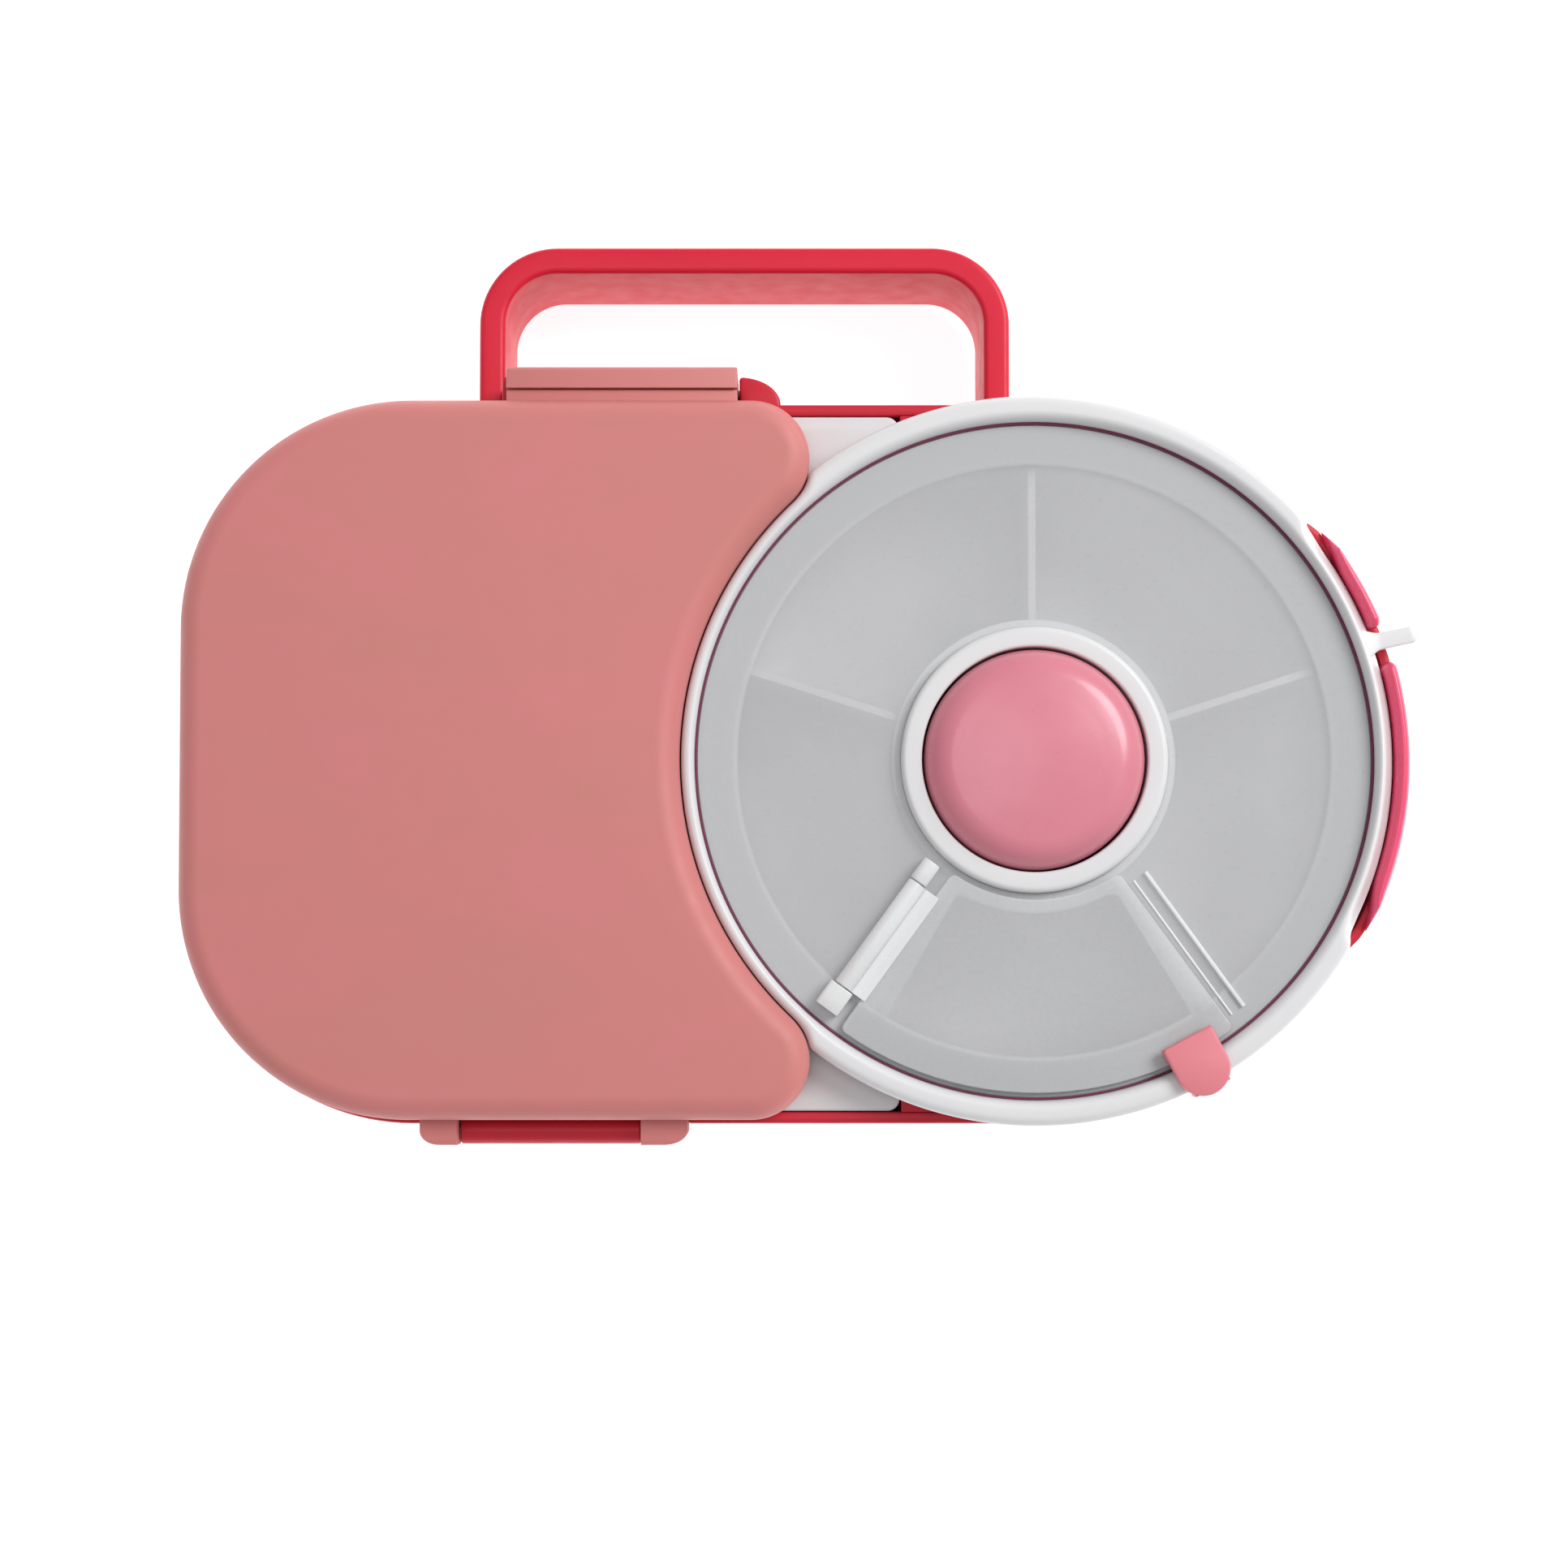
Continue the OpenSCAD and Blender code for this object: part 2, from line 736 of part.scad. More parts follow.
module spinner_ring() {
    color(white)
        difference() {
            intersection() {
                at_spinner()
                    rotate_extrude($fn = 144)
                        polygon(concat(
                            [[ring_in, ledge_z], [plug_r[0], ledge_z], [plug_r[0], ring_z - plug_h],
                             [plug_r[1], ring_z - plug_h], [plug_r[1], ring_z], [ring_r, ring_z],
                             [ring_r, ring_top - 2.2]],
                            arc(ring_r - 2, ring_top - 2, 2, 0, 90, 5),
                            [[ring_in + 1, ring_top], [ring_in, ring_top - 0.6]]));
                translate([0, 0, ring_z - 5])
                    linear_extrude(height = 20) spinner_outline(ring_r + 1);
            }
            clear_of_guard(ring_z - 1, ring_top + 1);
            // finger scoop on the outer edge
            at_spinner()
                rotate([0, 0, scoop_a[0]])
                    rotate_extrude(angle = scoop_a[1] - scoop_a[0], $fn = 144)
                        polygon([[scoop_in, ring_top + 1], [scoop_in, ring_top], [guard_in, ring_z + 1.4],
                                 [ring_r + 3, ring_z + 1.4], [ring_r + 3, ring_top + 1]]);
            pull_tab_shape();
        }
}

tab_a = 19.4;                  // direction of the tab's root
tab_r = 71.6;
tab_turn = 12;                 // direction in which the tab points
tab_w = 3.5;
tab_t = 2.2;
tab_len = 10.6;

// The tab with its flared root
module pull_tab_shape() {
    root = tab_r * [cos(tab_a), sin(tab_a)];
    translate([spin_x + root[0], root[1], ring_z + 1.2]) {
        rotate([0, 0, tab_turn])
            translate([0, -tab_w / 2, 0]) cube([tab_len + 1, tab_w, tab_t]);
        rotate([0, 0, tab_a])
            translate([-0.6, -3.4, 0]) cube([2.6, 6.8, 3.2]);
    }
}

module pull_tab() {
    color(white) pull_tab_shape();
}

module window_seal() {
    color(magenta) at_spinner() tube(ring_in, window_r, window_z, window_z + 2.6, 144);
}

hinge_u = [29.5, 34.5, 61, 66.5];   // ends of the knuckles along the door's hinge line
hinge_off = -4.6;                   // from the radius at door_hinge_a to the hinge line
rib_off = 4.4;                      // from the door's free edge to the sealing rib
rib_u = [32, 66];
rib_w = 0.8;
rib_h = 1.3;
door_z = window_z + window_t + 0.5;
door_t = 1.5;
door_axis_z = door_z + 1.6;
knuckle_r = 1.9;
knuckle_pin = 0.8;
door_r = [28.8, 68.3];
opening_r = [31.5, 64.5];

// A ring sector between two directions and two radii
module sector(a0, a1, r0, r1) {
    difference() {
        intersection() {
            circle(r = r1, $fn = 144);
            wedge(a0, a1, 100);
        }
        circle(r = r0, $fn = 96);
    }
}

// A round bar along the door's hinge line
module hinge_rod(u0, u1, r) {
    at_spinner(door_axis_z)
        rotate([0, 0, door_hinge_a])
            translate([u0, hinge_off, 0]) rotate([0, 90, 0]) cylinder(r = r, h = u1 - u0, $fn = 48);
}

module window() {
    color(clear)
        difference() {
            union() {
                at_spinner(window_z)
                    linear_extrude(height = window_t)
                        difference() {
                            circle(r = window_r, $fn = 144);
                            circle(r = collar_r + 0.1, $fn = 96);
                            sector(door_hinge_a + 5, door_free_a - 4, opening_r[0], opening_r[1]);
                        }
                for (i = [0, 2]) {
                    hinge_rod(hinge_u[i], hinge_u[i + 1], knuckle_r);
                    at_spinner(window_z + 1)
                        rotate([0, 0, door_hinge_a])
                            translate([hinge_u[i], hinge_off - knuckle_r, 0])
                                cube([hinge_u[i + 1] - hinge_u[i], 2 * knuckle_r, door_axis_z - window_z - 1]);
                }
                // sealing rib beside the door's free edge
                at_spinner(window_z + window_t - 0.5)
                    rotate([0, 0, door_free_a])
                        translate([rib_u[0], rib_off, 0]) cube([rib_u[1] - rib_u[0], rib_w, rib_h]);
            }
            hinge_rod(hinge_u[0] + 0.6, hinge_u[3] - 0.8, knuckle_pin);
        }
}

collar_in = button_r + 0.7;

module hub_collar() {
    color(white)
        at_spinner()
            rotate_extrude($fn = 96)
                polygon(concat([[collar_in, ledge_z - 1.2], [29.2, ledge_z - 1.2], [29.2, ledge_z], [collar_r, ledge_z]],
                    arc(collar_r - 1.2, ring_top - 2, 1.2, 0, 90, 4), [[collar_in, ring_top - 0.8]]));
}

module door_hinge_pin() {
    color(clear) hinge_rod(hinge_u[0] + 0.8, hinge_u[3] - 1, knuckle_pin);
}

// ---------- door and rim clip ----------

clip_axis_r = 65.8;
clip_axis_z = door_z + door_t + 2;
clip_pin_r = 0.7;
clip_out = 77.2;
clip_t = 1.6;
clip_lip = [clip_out - 1.6, ring_z + 2.2];
clip_z = ring_top + 0.4;

// Places what follows at the clip: X points outwards, Y runs along the rim
module at_clip(z) {
    at_spinner(z) rotate([0, 0, clip_a]) children();
}

module clip_rod(y0, y1, r) {
    at_clip(clip_axis_z)
        translate([clip_axis_r, y0, 0]) rotate([-90, 0, 0]) cylinder(r = r, h = y1 - y0, $fn = 32);
}

module door() {
    ear = 1.4;
    color(clear)
        difference() {
            union() {
                at_spinner(door_z)
                    linear_extrude(height = door_t) {
                        sector(door_hinge_a, door_free_a + 0.3, door_r[0], door_r[1]);
                        // strip that reaches the barrel
                        rotate([0, 0, door_hinge_a])
                            translate([hinge_u[1] + gap, hinge_off])
                                square([hinge_u[2] - hinge_u[1] - 2 * gap, 1 - hinge_off]);
                    }
                hinge_rod(hinge_u[1] + gap, hinge_u[2] - gap, knuckle_r);
                // ears that hold the clip's pin
                for (side = [-1, 1])
                    at_clip(door_z + door_t - 0.5)
                        translate([clip_axis_r - 1.4, side * (clip_w / 2 - 1.8) - ear / 2, 0])
                            cube([2.8, ear, clip_axis_z - door_z - door_t + 1.7]);
            }
            hinge_rod(hinge_u[1] - 1, hinge_u[2] + 1, knuckle_pin + run);
            clip_rod(-clip_w, clip_w, clip_pin_r);
        }
}

module door_gasket() {
    color([0.88, 0.88, 0.90])
        at_spinner(door_z - 0.35)
            linear_extrude(height = 0.35)
                difference() {
                    sector(door_hinge_a + 4, door_free_a - 2.4, opening_r[0] - 1.6, opening_r[1] + 2);
                    sector(door_hinge_a + 6, door_free_a - 4.4, opening_r[0] - 0.4, opening_r[1] + 0.8);
                }
}

module clip_pin() {
    color(steel) clip_rod(0.6 - clip_w / 2, clip_w / 2 - 0.6, clip_pin_r);
}

module rim_clip() {
    nose = clip_w / 2;
    color(rose)
        difference() {
            union() {
                at_clip(clip_z)
                    linear_extrude(height = clip_t)
                        intersection() {
                            union() {
                                translate([clip_axis_r, -clip_w / 2])
                                    square([clip_out - nose - clip_axis_r, clip_w]);
                                translate([clip_out - nose, 0]) circle(r = nose, $fn = 64);
                            }
                            circle(r = clip_out, $fn = 144);
                        }
                clip_rod(-clip_w / 2, clip_w / 2, 1.6);
                // lip that reaches down outside the ring
                at_clip(clip_lip[1])
                    linear_extrude(height = clip_z + 0.5 - clip_lip[1])
                        intersection() {
                            translate([clip_out - nose, 0]) circle(r = nose, $fn = 64);
                            difference() {
                                circle(r = clip_out, $fn = 144);
                                circle(r = clip_lip[0], $fn = 144);
                            }
                        }
            }
            clip_rod(-clip_w, clip_w, clip_pin_r + run);
            // slots for the door's two ears
            for (side = [-1, 1])
                at_clip(clip_axis_z - 5)
                    translate([clip_axis_r - 4, side * (clip_w / 2 - 1.8) - 1, 0])
                        cube([6.2, 2, 10]);
        }
}

base_shell();
rim_guard();
non_slip_feet();
handle();
handle_screws();
bento_tray();
lid_hinge_pin();
lid_shell();
lid_liner();
lid_gasket();
latch_flap();
latch_pin();
spinner_housing();
centre_post();
post_screw();
index_pawl();
snack_tray();
index_wheel();
cam_follower();
push_button();
cam_sleeve();
button_spring();
spinner_ring();
pull_tab();
window_seal();
window();
hub_collar();
door_hinge_pin();
door();
door_gasket();
clip_pin();
rim_clip();
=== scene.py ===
"""Looks of a child's lunchbox with a lift-out snack spinner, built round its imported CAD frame.

Lengths in the helpers are in millimetres and turn into metres where a mesh is made. Every place
comes from the CAD nodes' boxes or from the design values in the section "Places".
"""

import math

import bmesh
import bpy
from mathutils import Matrix, Vector


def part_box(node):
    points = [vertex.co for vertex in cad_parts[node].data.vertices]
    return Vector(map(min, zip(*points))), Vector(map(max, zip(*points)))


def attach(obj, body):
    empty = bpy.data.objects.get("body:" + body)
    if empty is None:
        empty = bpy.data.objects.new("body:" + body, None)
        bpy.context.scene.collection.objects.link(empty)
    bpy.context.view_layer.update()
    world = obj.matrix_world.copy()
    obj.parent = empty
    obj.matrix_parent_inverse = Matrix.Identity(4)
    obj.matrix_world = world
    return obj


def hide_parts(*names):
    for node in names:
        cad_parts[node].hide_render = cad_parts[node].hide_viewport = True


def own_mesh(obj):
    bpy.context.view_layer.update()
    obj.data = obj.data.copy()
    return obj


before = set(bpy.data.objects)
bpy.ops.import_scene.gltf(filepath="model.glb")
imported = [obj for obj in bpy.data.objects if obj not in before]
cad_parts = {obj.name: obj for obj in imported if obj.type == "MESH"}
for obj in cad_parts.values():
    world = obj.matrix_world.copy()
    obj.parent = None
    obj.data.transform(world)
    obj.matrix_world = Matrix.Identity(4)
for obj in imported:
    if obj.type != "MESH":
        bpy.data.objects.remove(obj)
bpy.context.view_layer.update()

MM = 0.001
SHARP = math.radians(35)


# ---------------------------------------------------------------- places

def low(node):
    return Vector(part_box(node)[0]) / MM


def high(node):
    return Vector(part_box(node)[1]) / MM


def middle(node):
    return (low(node) + high(node)) / 2


SEAL_MID = middle("window_seal")
CENTRE = (SEAL_MID.x, SEAL_MID.y)               # axis of the spinner
HALF_LEN = high("base_shell").x
HALF_WID = low("handle").y
RIM_Z = low("rim_guard").z
END_X = HALF_LEN - HALF_WID                     # centre of the tub's round end
CORNER_R = 47
CORNER_X, CORNER_Y = CORNER_R - HALF_LEN, HALF_WID - CORNER_R
WALL = 2.4
FLOOR_Z = 2.4
FOOT_EDGE = 5
FOOT_R = 6
FOOT_SPOTS = ((-92, 44), (-92, -44), (85, 42), (85, -42))

LID_Z = RIM_Z + 0.4
LID_TOP = high("lid_shell").z
LID_T = 2.2
LID_EDGE = 5
LID_HALF = high("lid_liner").y + LID_T
ARC_R = 72.8                                    # concave edge of the lid, about the spinner
HORN_R = 12
HORN_Y = LID_HALF - HORN_R
HORN_REACH = ARC_R + HORN_R
HORN_X = CENTRE[0] - math.sqrt(HORN_REACH ** 2 - HORN_Y ** 2)
HORN_TURN = math.degrees(math.atan2(HORN_Y, CENTRE[0] - HORN_X))
LID_GAP = 0.3

HINGE = middle("lid_hinge_pin")
HINGE_R = 2.8
BARREL = (-69.5, -32.4)
LID_EARS = ((-77.3, -69.8, -77.3), (-32.1, -22.5, -22.5))
LATCH = middle("latch_pin")
LATCH_R = 2.8
LATCH_OUT = 80.6
FLAP = (low("latch_flap").x, high("latch_flap").x)
FLAP_TOP = high("latch_flap").z

RING_R = 75
RING_TOP = high("spinner_ring").z
RING_IN = (high("window_seal") - low("window_seal")).x / 2
CUP_RIM_Z = high("spinner_housing").z
RING_Z = CUP_RIM_Z + 0.3
LEDGE_Z = low("window_seal").z
GUARD_IN = 74.3
GUARD_CLEAR = 73.9
GUARD_TOP = high("rim_guard").z
GUARD = (-27, 38.5)
NOTCH = (15.6, 21.2)
SCOOP = ((-32, -25), (35, 42))
SCOOP_IN = 71.2

TRAY_TOP = high("bento_tray").z
SNACK_Z = low("snack_tray").z
SNACK_R = 64.4
SNACK_RIM = 40.5
SNACK_TOP = high("snack_tray").z
HUB_IN, HUB_OUT = 24.6, 26.4
DIVIDER_T = 1.7

HINGE_A, FREE_A, CLIP_A = -126, -54, -62
COLLAR_R = 27.4
COLLAR_FLANGE_R = 29.2
WINDOW_R = RING_IN - 0.45
WINDOW_Z = low("window").z
WINDOW_T = 1.6
DOOR_Z = WINDOW_Z + WINDOW_T + 0.5
DOOR_T = 1.5
DOOR_AXIS_Z = DOOR_Z + 1.6
KNUCKLE_R = 1.9
KNUCKLES = (29.5, 34.5, 61, 66.5)
HINGE_OFF = -4.6                                # from the radius at HINGE_A to the hinge line
CLIP_W = 11.3
CLIP_AXIS_R = 65.8
CLIP_OUT = 77.2
CLIP_TOP = high("rim_clip").z

BUTTON_R = (high("push_button") - low("push_button")).x / 2
COLLAR_IN = BUTTON_R + 0.45
BUTTON_TOP = high("push_button").z
BUTTON_SKIRT = low("push_button").z
CROWN_Z = 47


# ---------------------------------------------------------------- outlines, in millimetres

def polar(radius, angle, centre=(0, 0)):
    """A point at that distance and direction, in degrees, from centre."""
    a = math.radians(angle)
    return (centre[0] + radius * math.cos(a), centre[1] + radius * math.sin(a))


def arc(centre, radius, a0, a1, steps=8):
    return [polar(radius, a0 + (a1 - a0) * i / steps, centre) for i in range(steps + 1)]


def tub_reach(angle):
    """How far the tub's round end reaches from the spinner's axis: furthest where the guard runs."""
    shift, along = END_X - CENTRE[0], math.radians(angle)
    full = math.sqrt(HALF_WID ** 2 - (shift * math.sin(along)) ** 2) + shift * math.cos(along)
    by_guard = smooth(angle, GUARD[0] - 8, GUARD[0]) - smooth(angle, GUARD[1], GUARD[1] + 7)
    return HALF_WID + (full - HALF_WID) * by_guard


def body_outline(inset):
    """Plan of the tub: round corners at the left and a round end at the right."""
    return ([polar(tub_reach(a) - inset, a, CENTRE) for a in (-90 + 1.5 * k for k in range(121))]
            + arc((CORNER_X, CORNER_Y), CORNER_R - inset, 90, 180, 32)
            + arc((CORNER_X, -CORNER_Y), CORNER_R - inset, 180, 270, 32))


def lid_outline(inset):
    """Plan of the lid: the tub's left part, with two horns and a concave edge."""
    return (arc((HORN_X, HORN_Y), HORN_R - inset, -HORN_TURN, 90, 30)
            + arc((CORNER_X, LID_HALF - CORNER_R), CORNER_R - inset, 90, 180, 32)
            + arc((CORNER_X, CORNER_R - LID_HALF), CORNER_R - inset, 180, 270, 32)
            + arc((HORN_X, -HORN_Y), HORN_R - inset, 270, 360 + HORN_TURN, 30)
            + arc(CENTRE, ARC_R + inset, 180 + HORN_TURN, 180 - HORN_TURN, 72)[1:-1])


def flange_outline(inset):
    """Plan of the lunch tray's flange, which fills the corners beside the spinner."""
    x1, y1 = high("bento_tray").x - inset, HALF_WID - WALL - 0.2 - inset
    corner, big, reach = 2.5, CORNER_R - WALL - 0.2 - inset, 70.4 + inset
    turn = math.degrees(math.acos((CENTRE[0] - x1) / reach))
    return (arc((x1 - corner, y1 - corner), corner, 0, 90, 6)
            + arc((CORNER_X, CORNER_Y), big, 90, 180, 32)
            + arc((CORNER_X, -CORNER_Y), big, 180, 270, 32)
            + arc((x1 - corner, corner - y1), corner, 270, 360, 6)
            + arc(CENTRE, reach, 180 + turn, 180 - turn, 72))


def basin_outline(inset):
    """Plan of the lunch tray's basin, under the lid."""
    corner, reach, x1 = 8 - inset, 74.5 + inset, -10 - inset
    y1 = HALF_WID - 5 - inset
    turn = math.degrees(math.acos((CENTRE[0] - x1) / reach))
    big = CORNER_R - 5 - inset
    return (arc((x1 - corner, y1 - corner), corner, 0, 90, 8)
            + arc((CORNER_X, CORNER_Y), big, 90, 180, 32)
            + arc((CORNER_X, -CORNER_Y), big, 180, 270, 32)
            + arc((x1 - corner, corner - y1), corner, 270, 360, 8)
            + arc(CENTRE, reach, 180 + turn, 180 - turn, 48))


def sector_outline(a0, a1, r0, r1, inset, corner, side=0.0, steps=24):
    """Plan of a ring sector about the spinner: moved inwards by inset, its straight sides by side
    more, with its four corners rounded."""
    out_r, in_r = r1 - inset, r0 + inset
    off = side + inset + corner
    out = math.degrees(math.asin(off / (out_r - corner)))
    inn = math.degrees(math.asin(off / (in_r + corner)))
    return (arc(CENTRE, out_r, a0 + out, a1 - out, steps)
            + arc(polar(out_r - corner, a1 - out, CENTRE), corner, a1 - out, a1 + 90, 6)[1:]
            + arc(polar(in_r + corner, a1 - inn, CENTRE), corner, a1 + 90, a1 - inn + 180, 6)
            + arc(CENTRE, in_r, a1 - inn, a0 + inn, steps)[1:-1]
            + arc(polar(in_r + corner, a0 + inn, CENTRE), corner, a0 + inn + 180, a0 + 270, 6)
            + arc(polar(out_r - corner, a0 + out, CENTRE), corner, a0 - 90, a0 + out, 6)[:-1])


def lid_limit(angle):
    """How far the spinner may reach in a direction before it meets the lid's edge."""
    from_left = abs((angle - 180 + 180) % 360 - 180)
    if from_left <= HORN_TURN:
        return ARC_R - LID_GAP
    d = math.radians(from_left - HORN_TURN)
    clear = HORN_R + LID_GAP
    across = HORN_REACH * math.sin(d)
    if across >= clear or d > math.pi / 2:
        return RING_R
    return min(RING_R, HORN_REACH * math.cos(d) - math.sqrt(clear ** 2 - across ** 2))


def smooth(x, a, b):
    """0 before a, 1 after b, with a soft step between them."""
    t = min(max((x - a) / (b - a), 0), 1)
    return t * t * (3 - 2 * t)


# ---------------------------------------------------------------- mesh helpers

def clean(mesh):
    bm = bmesh.new()
    bm.from_mesh(mesh)
    bmesh.ops.remove_doubles(bm, verts=bm.verts, dist=2e-7)
    bmesh.ops.dissolve_degenerate(bm, edges=bm.edges, dist=1e-7)
    bmesh.ops.recalc_face_normals(bm, faces=bm.faces)
    bm.to_mesh(mesh)
    bm.free()


def make(name, verts, faces, material, sharp=SHARP):
    """A smooth-shaded mesh object from points in millimetres."""
    mesh = bpy.data.meshes.new(name)
    mesh.from_pydata([Vector(v) * MM for v in verts], [], faces)
    clean(mesh)
    mesh.materials.append(material)
    obj = bpy.data.objects.new(name, mesh)
    bpy.context.scene.collection.objects.link(obj)
    return shade_smooth(obj, sharp)


def shade_smooth(obj, sharp=SHARP):
    obj.data.shade_smooth()
    obj.data.set_sharp_from_angle(angle=sharp)
    return obj


def loft(name, rings, material, closed=False, sharp=SHARP):
    """A skin through rings of equally many points. It is capped, or joined end to end if closed."""
    count = len(rings[0])
    verts = [p for ring in rings for p in ring]
    faces = []
    for i in range(len(rings) if closed else len(rings) - 1):
        a, b = i * count, ((i + 1) % len(rings)) * count
        faces += [(a + j, a + (j + 1) % count, b + (j + 1) % count, b + j) for j in range(count)]
    if not closed:
        faces += [tuple(reversed(range(count))), tuple(range(len(verts) - count, len(verts)))]
    return make(name, verts, faces, material, sharp)


def stack(name, outline, levels, material, sharp=SHARP):
    """A closed solid from one outline drawn at levels of (inset, z)."""
    return loft(name, [[(x, y, z) for x, y in outline(inset)] for inset, z in levels], material, sharp=sharp)


def lathe(name, profile, material, centre=CENTRE, steps=180, sharp=SHARP):
    """Turns a closed profile of (radius, z) about a vertical axis."""
    rings = [[(*polar(r, 360 * i / steps, centre), z) for r, z in profile] for i in range(steps)]
    return loft(name, rings, material, closed=True, sharp=sharp)


def rounded(points, radii, steps=5):
    """A closed (u, v) profile whose corners are rounded by their own radii."""
    radii = radii if isinstance(radii, (list, tuple)) else [radii] * len(points)
    out = []
    for i, (point, radius) in enumerate(zip(points, radii)):
        p, before, after = Vector(point), Vector(points[i - 1]), Vector(points[(i + 1) % len(points)])
        u, v = (before - p).normalized(), (after - p).normalized()
        angle = u.angle(v)
        if radius == 0 or angle > math.pi - 0.01:
            out.append(tuple(p))
            continue
        a, b = p + u * radius / math.tan(angle / 2), p + v * radius / math.tan(angle / 2)
        centre = p + (u + v).normalized() * radius / math.sin(angle / 2)
        a0 = math.atan2(a.y - centre.y, a.x - centre.x)
        turn = (math.atan2(b.y - centre.y, b.x - centre.x) - a0 + math.pi) % (2 * math.pi) - math.pi
        out += [(centre.x + radius * math.cos(a0 + turn * k / steps),
                 centre.y + radius * math.sin(a0 + turn * k / steps)) for k in range(steps + 1)]
    return out


def edge_curve(size, z, rising=True, steps=9):
    """(inset, z) levels round an edge that ends at z, from the wall to the flat."""
    sign = 1 if rising else -1
    return [(size * (1 - math.cos(t)), z - sign * size * (1 - math.sin(t)))
            for t in (math.pi / 2 * k / steps for k in range(steps + 1))]


def slab(z0, z1, bevel):
    """(inset, z) levels of a flat plate with rounded edges."""
    return edge_curve(bevel, z0, False, 4)[::-1] + edge_curve(bevel, z1, True, 4)


def prism(name, plan, z0, z1, material):
    return loft(name, [[(x, y, z) for x, y in plan] for z in (z0, z1)], material)


def bar_x(name, profile, x0, x1, material, bevel=0.0):
    """Extrudes a (y, z) profile along X, with its end edges softened by a narrower last section."""
    mid = Vector((sum(p[0] for p in profile), sum(p[1] for p in profile))) / len(profile)
    rings = []
    ends = ((x0, bevel), (x0 + bevel * 0.3, bevel * 0.3), (x0 + bevel, 0)) if bevel else ((x0, 0),)
    for x, shrink in ends + tuple((x0 + x1 - x, s) for x, s in reversed(ends)):
        ring = []
        for y, z in profile:
            away = Vector((y, z)) - mid
            pull = away.normalized() * min(shrink, away.length * 0.5) if away.length else away
            ring.append((x, y - pull.x, z - pull.y))
        rings.append(ring)
    return loft(name, rings, material)


def turned_bar(name, profile, angle, r0, r1, material):
    """Extrudes an (across, z) profile along a radius of the spinner; across runs anticlockwise."""
    a = math.radians(angle)
    out, side = Vector((math.cos(a), math.sin(a))), Vector((-math.sin(a), math.cos(a)))
    rings = []
    for r in (r0, r1):
        rings.append([(*(Vector(CENTRE) + out * r + side * u), v) for u, v in profile])
    return loft(name, rings, material)


def rod(name, start, end, radius, material, edge=0.25, steps=36):
    """A round bar with softened ends."""
    start, end = Vector(start), Vector(end)
    axis = (end - start).normalized()
    u = axis.orthogonal().normalized()
    v = axis.cross(u)
    rings = []
    for place, r in ((start, radius - edge), (start + axis * edge, radius),
                     (end - axis * edge, radius), (end, radius - edge)):
        rings.append([tuple(place + u * r * math.cos(t) + v * r * math.sin(t))
                      for t in (2 * math.pi * k / steps for k in range(steps))])
    return loft(name, rings, material)


def apply_modifiers(obj):
    graph = bpy.context.evaluated_depsgraph_get()
    mesh = bpy.data.meshes.new_from_object(obj.evaluated_get(graph))
    obj.modifiers.clear()
    obj.data = mesh


def combine(obj, others, operation="UNION"):
    """Joins other solids to obj, cuts them out of it or keeps what they share, and deletes them."""
    for other in others:
        mod = obj.modifiers.new(operation, "BOOLEAN")
        mod.operation = operation
        mod.solver = "EXACT"
        mod.object = other
        apply_modifiers(obj)
        bpy.data.objects.remove(other)
    clean(obj.data)
    return shade_smooth(obj)


def soften(obj, width, segments=3, angle=40):
    """Rounds an object's edges that turn by more than angle."""
    mod = obj.modifiers.new("soften", "BEVEL")
    mod.width = width * MM
    mod.segments = segments
    mod.limit_method = "ANGLE"
    mod.angle_limit = math.radians(angle)
    mod.harden_normals = False
    apply_modifiers(obj)
    return shade_smooth(obj)


def joined(name, parts):
    """Several separate solids as one object."""
    verts, faces = [], []
    for part in parts:
        base = len(verts)
        verts += [tuple(v.co / MM) for v in part.data.vertices]
        faces += [tuple(base + i for i in p.vertices) for p in part.data.polygons]
    material = parts[0].data.materials[0]
    for part in parts:
        bpy.data.objects.remove(part)
    return make(name, verts, faces, material)


def settle(obj, body, slot, *nodes):
    """Lets a finished piece ride on its body in place of the CAD nodes it stands for."""
    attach(obj, body)
    if nodes:
        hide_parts(*nodes)
    return obj


def dress(node, material, bevel=0.0):
    """A CAD node that keeps its shape gets its material and, if wanted, softened edges."""
    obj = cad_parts[node]
    obj.data.materials.clear()
    obj.data.materials.append(material)
    if bevel:
        weld = obj.modifiers.new("weld", "WELD")
        weld.merge_threshold = 0.01 * MM
        mod = obj.modifiers.new("soften", "BEVEL")
        mod.width = bevel * MM
        mod.segments = 2
        mod.limit_method = "ANGLE"
        mod.angle_limit = math.radians(50)


# ---------------------------------------------------------------- materials

def srgb(r, g, b):
    """A colour given as it shows on a screen, 0 to 255, in linear light."""
    return tuple((c / 255 / 12.92 if c <= 10 else ((c / 255 + 0.055) / 1.055) ** 2.4)
                 for c in (r, g, b)) + (1.0,)


def shade(color, factor):
    return tuple(min(c * factor, 1.0) for c in color[:3]) + (1.0,)


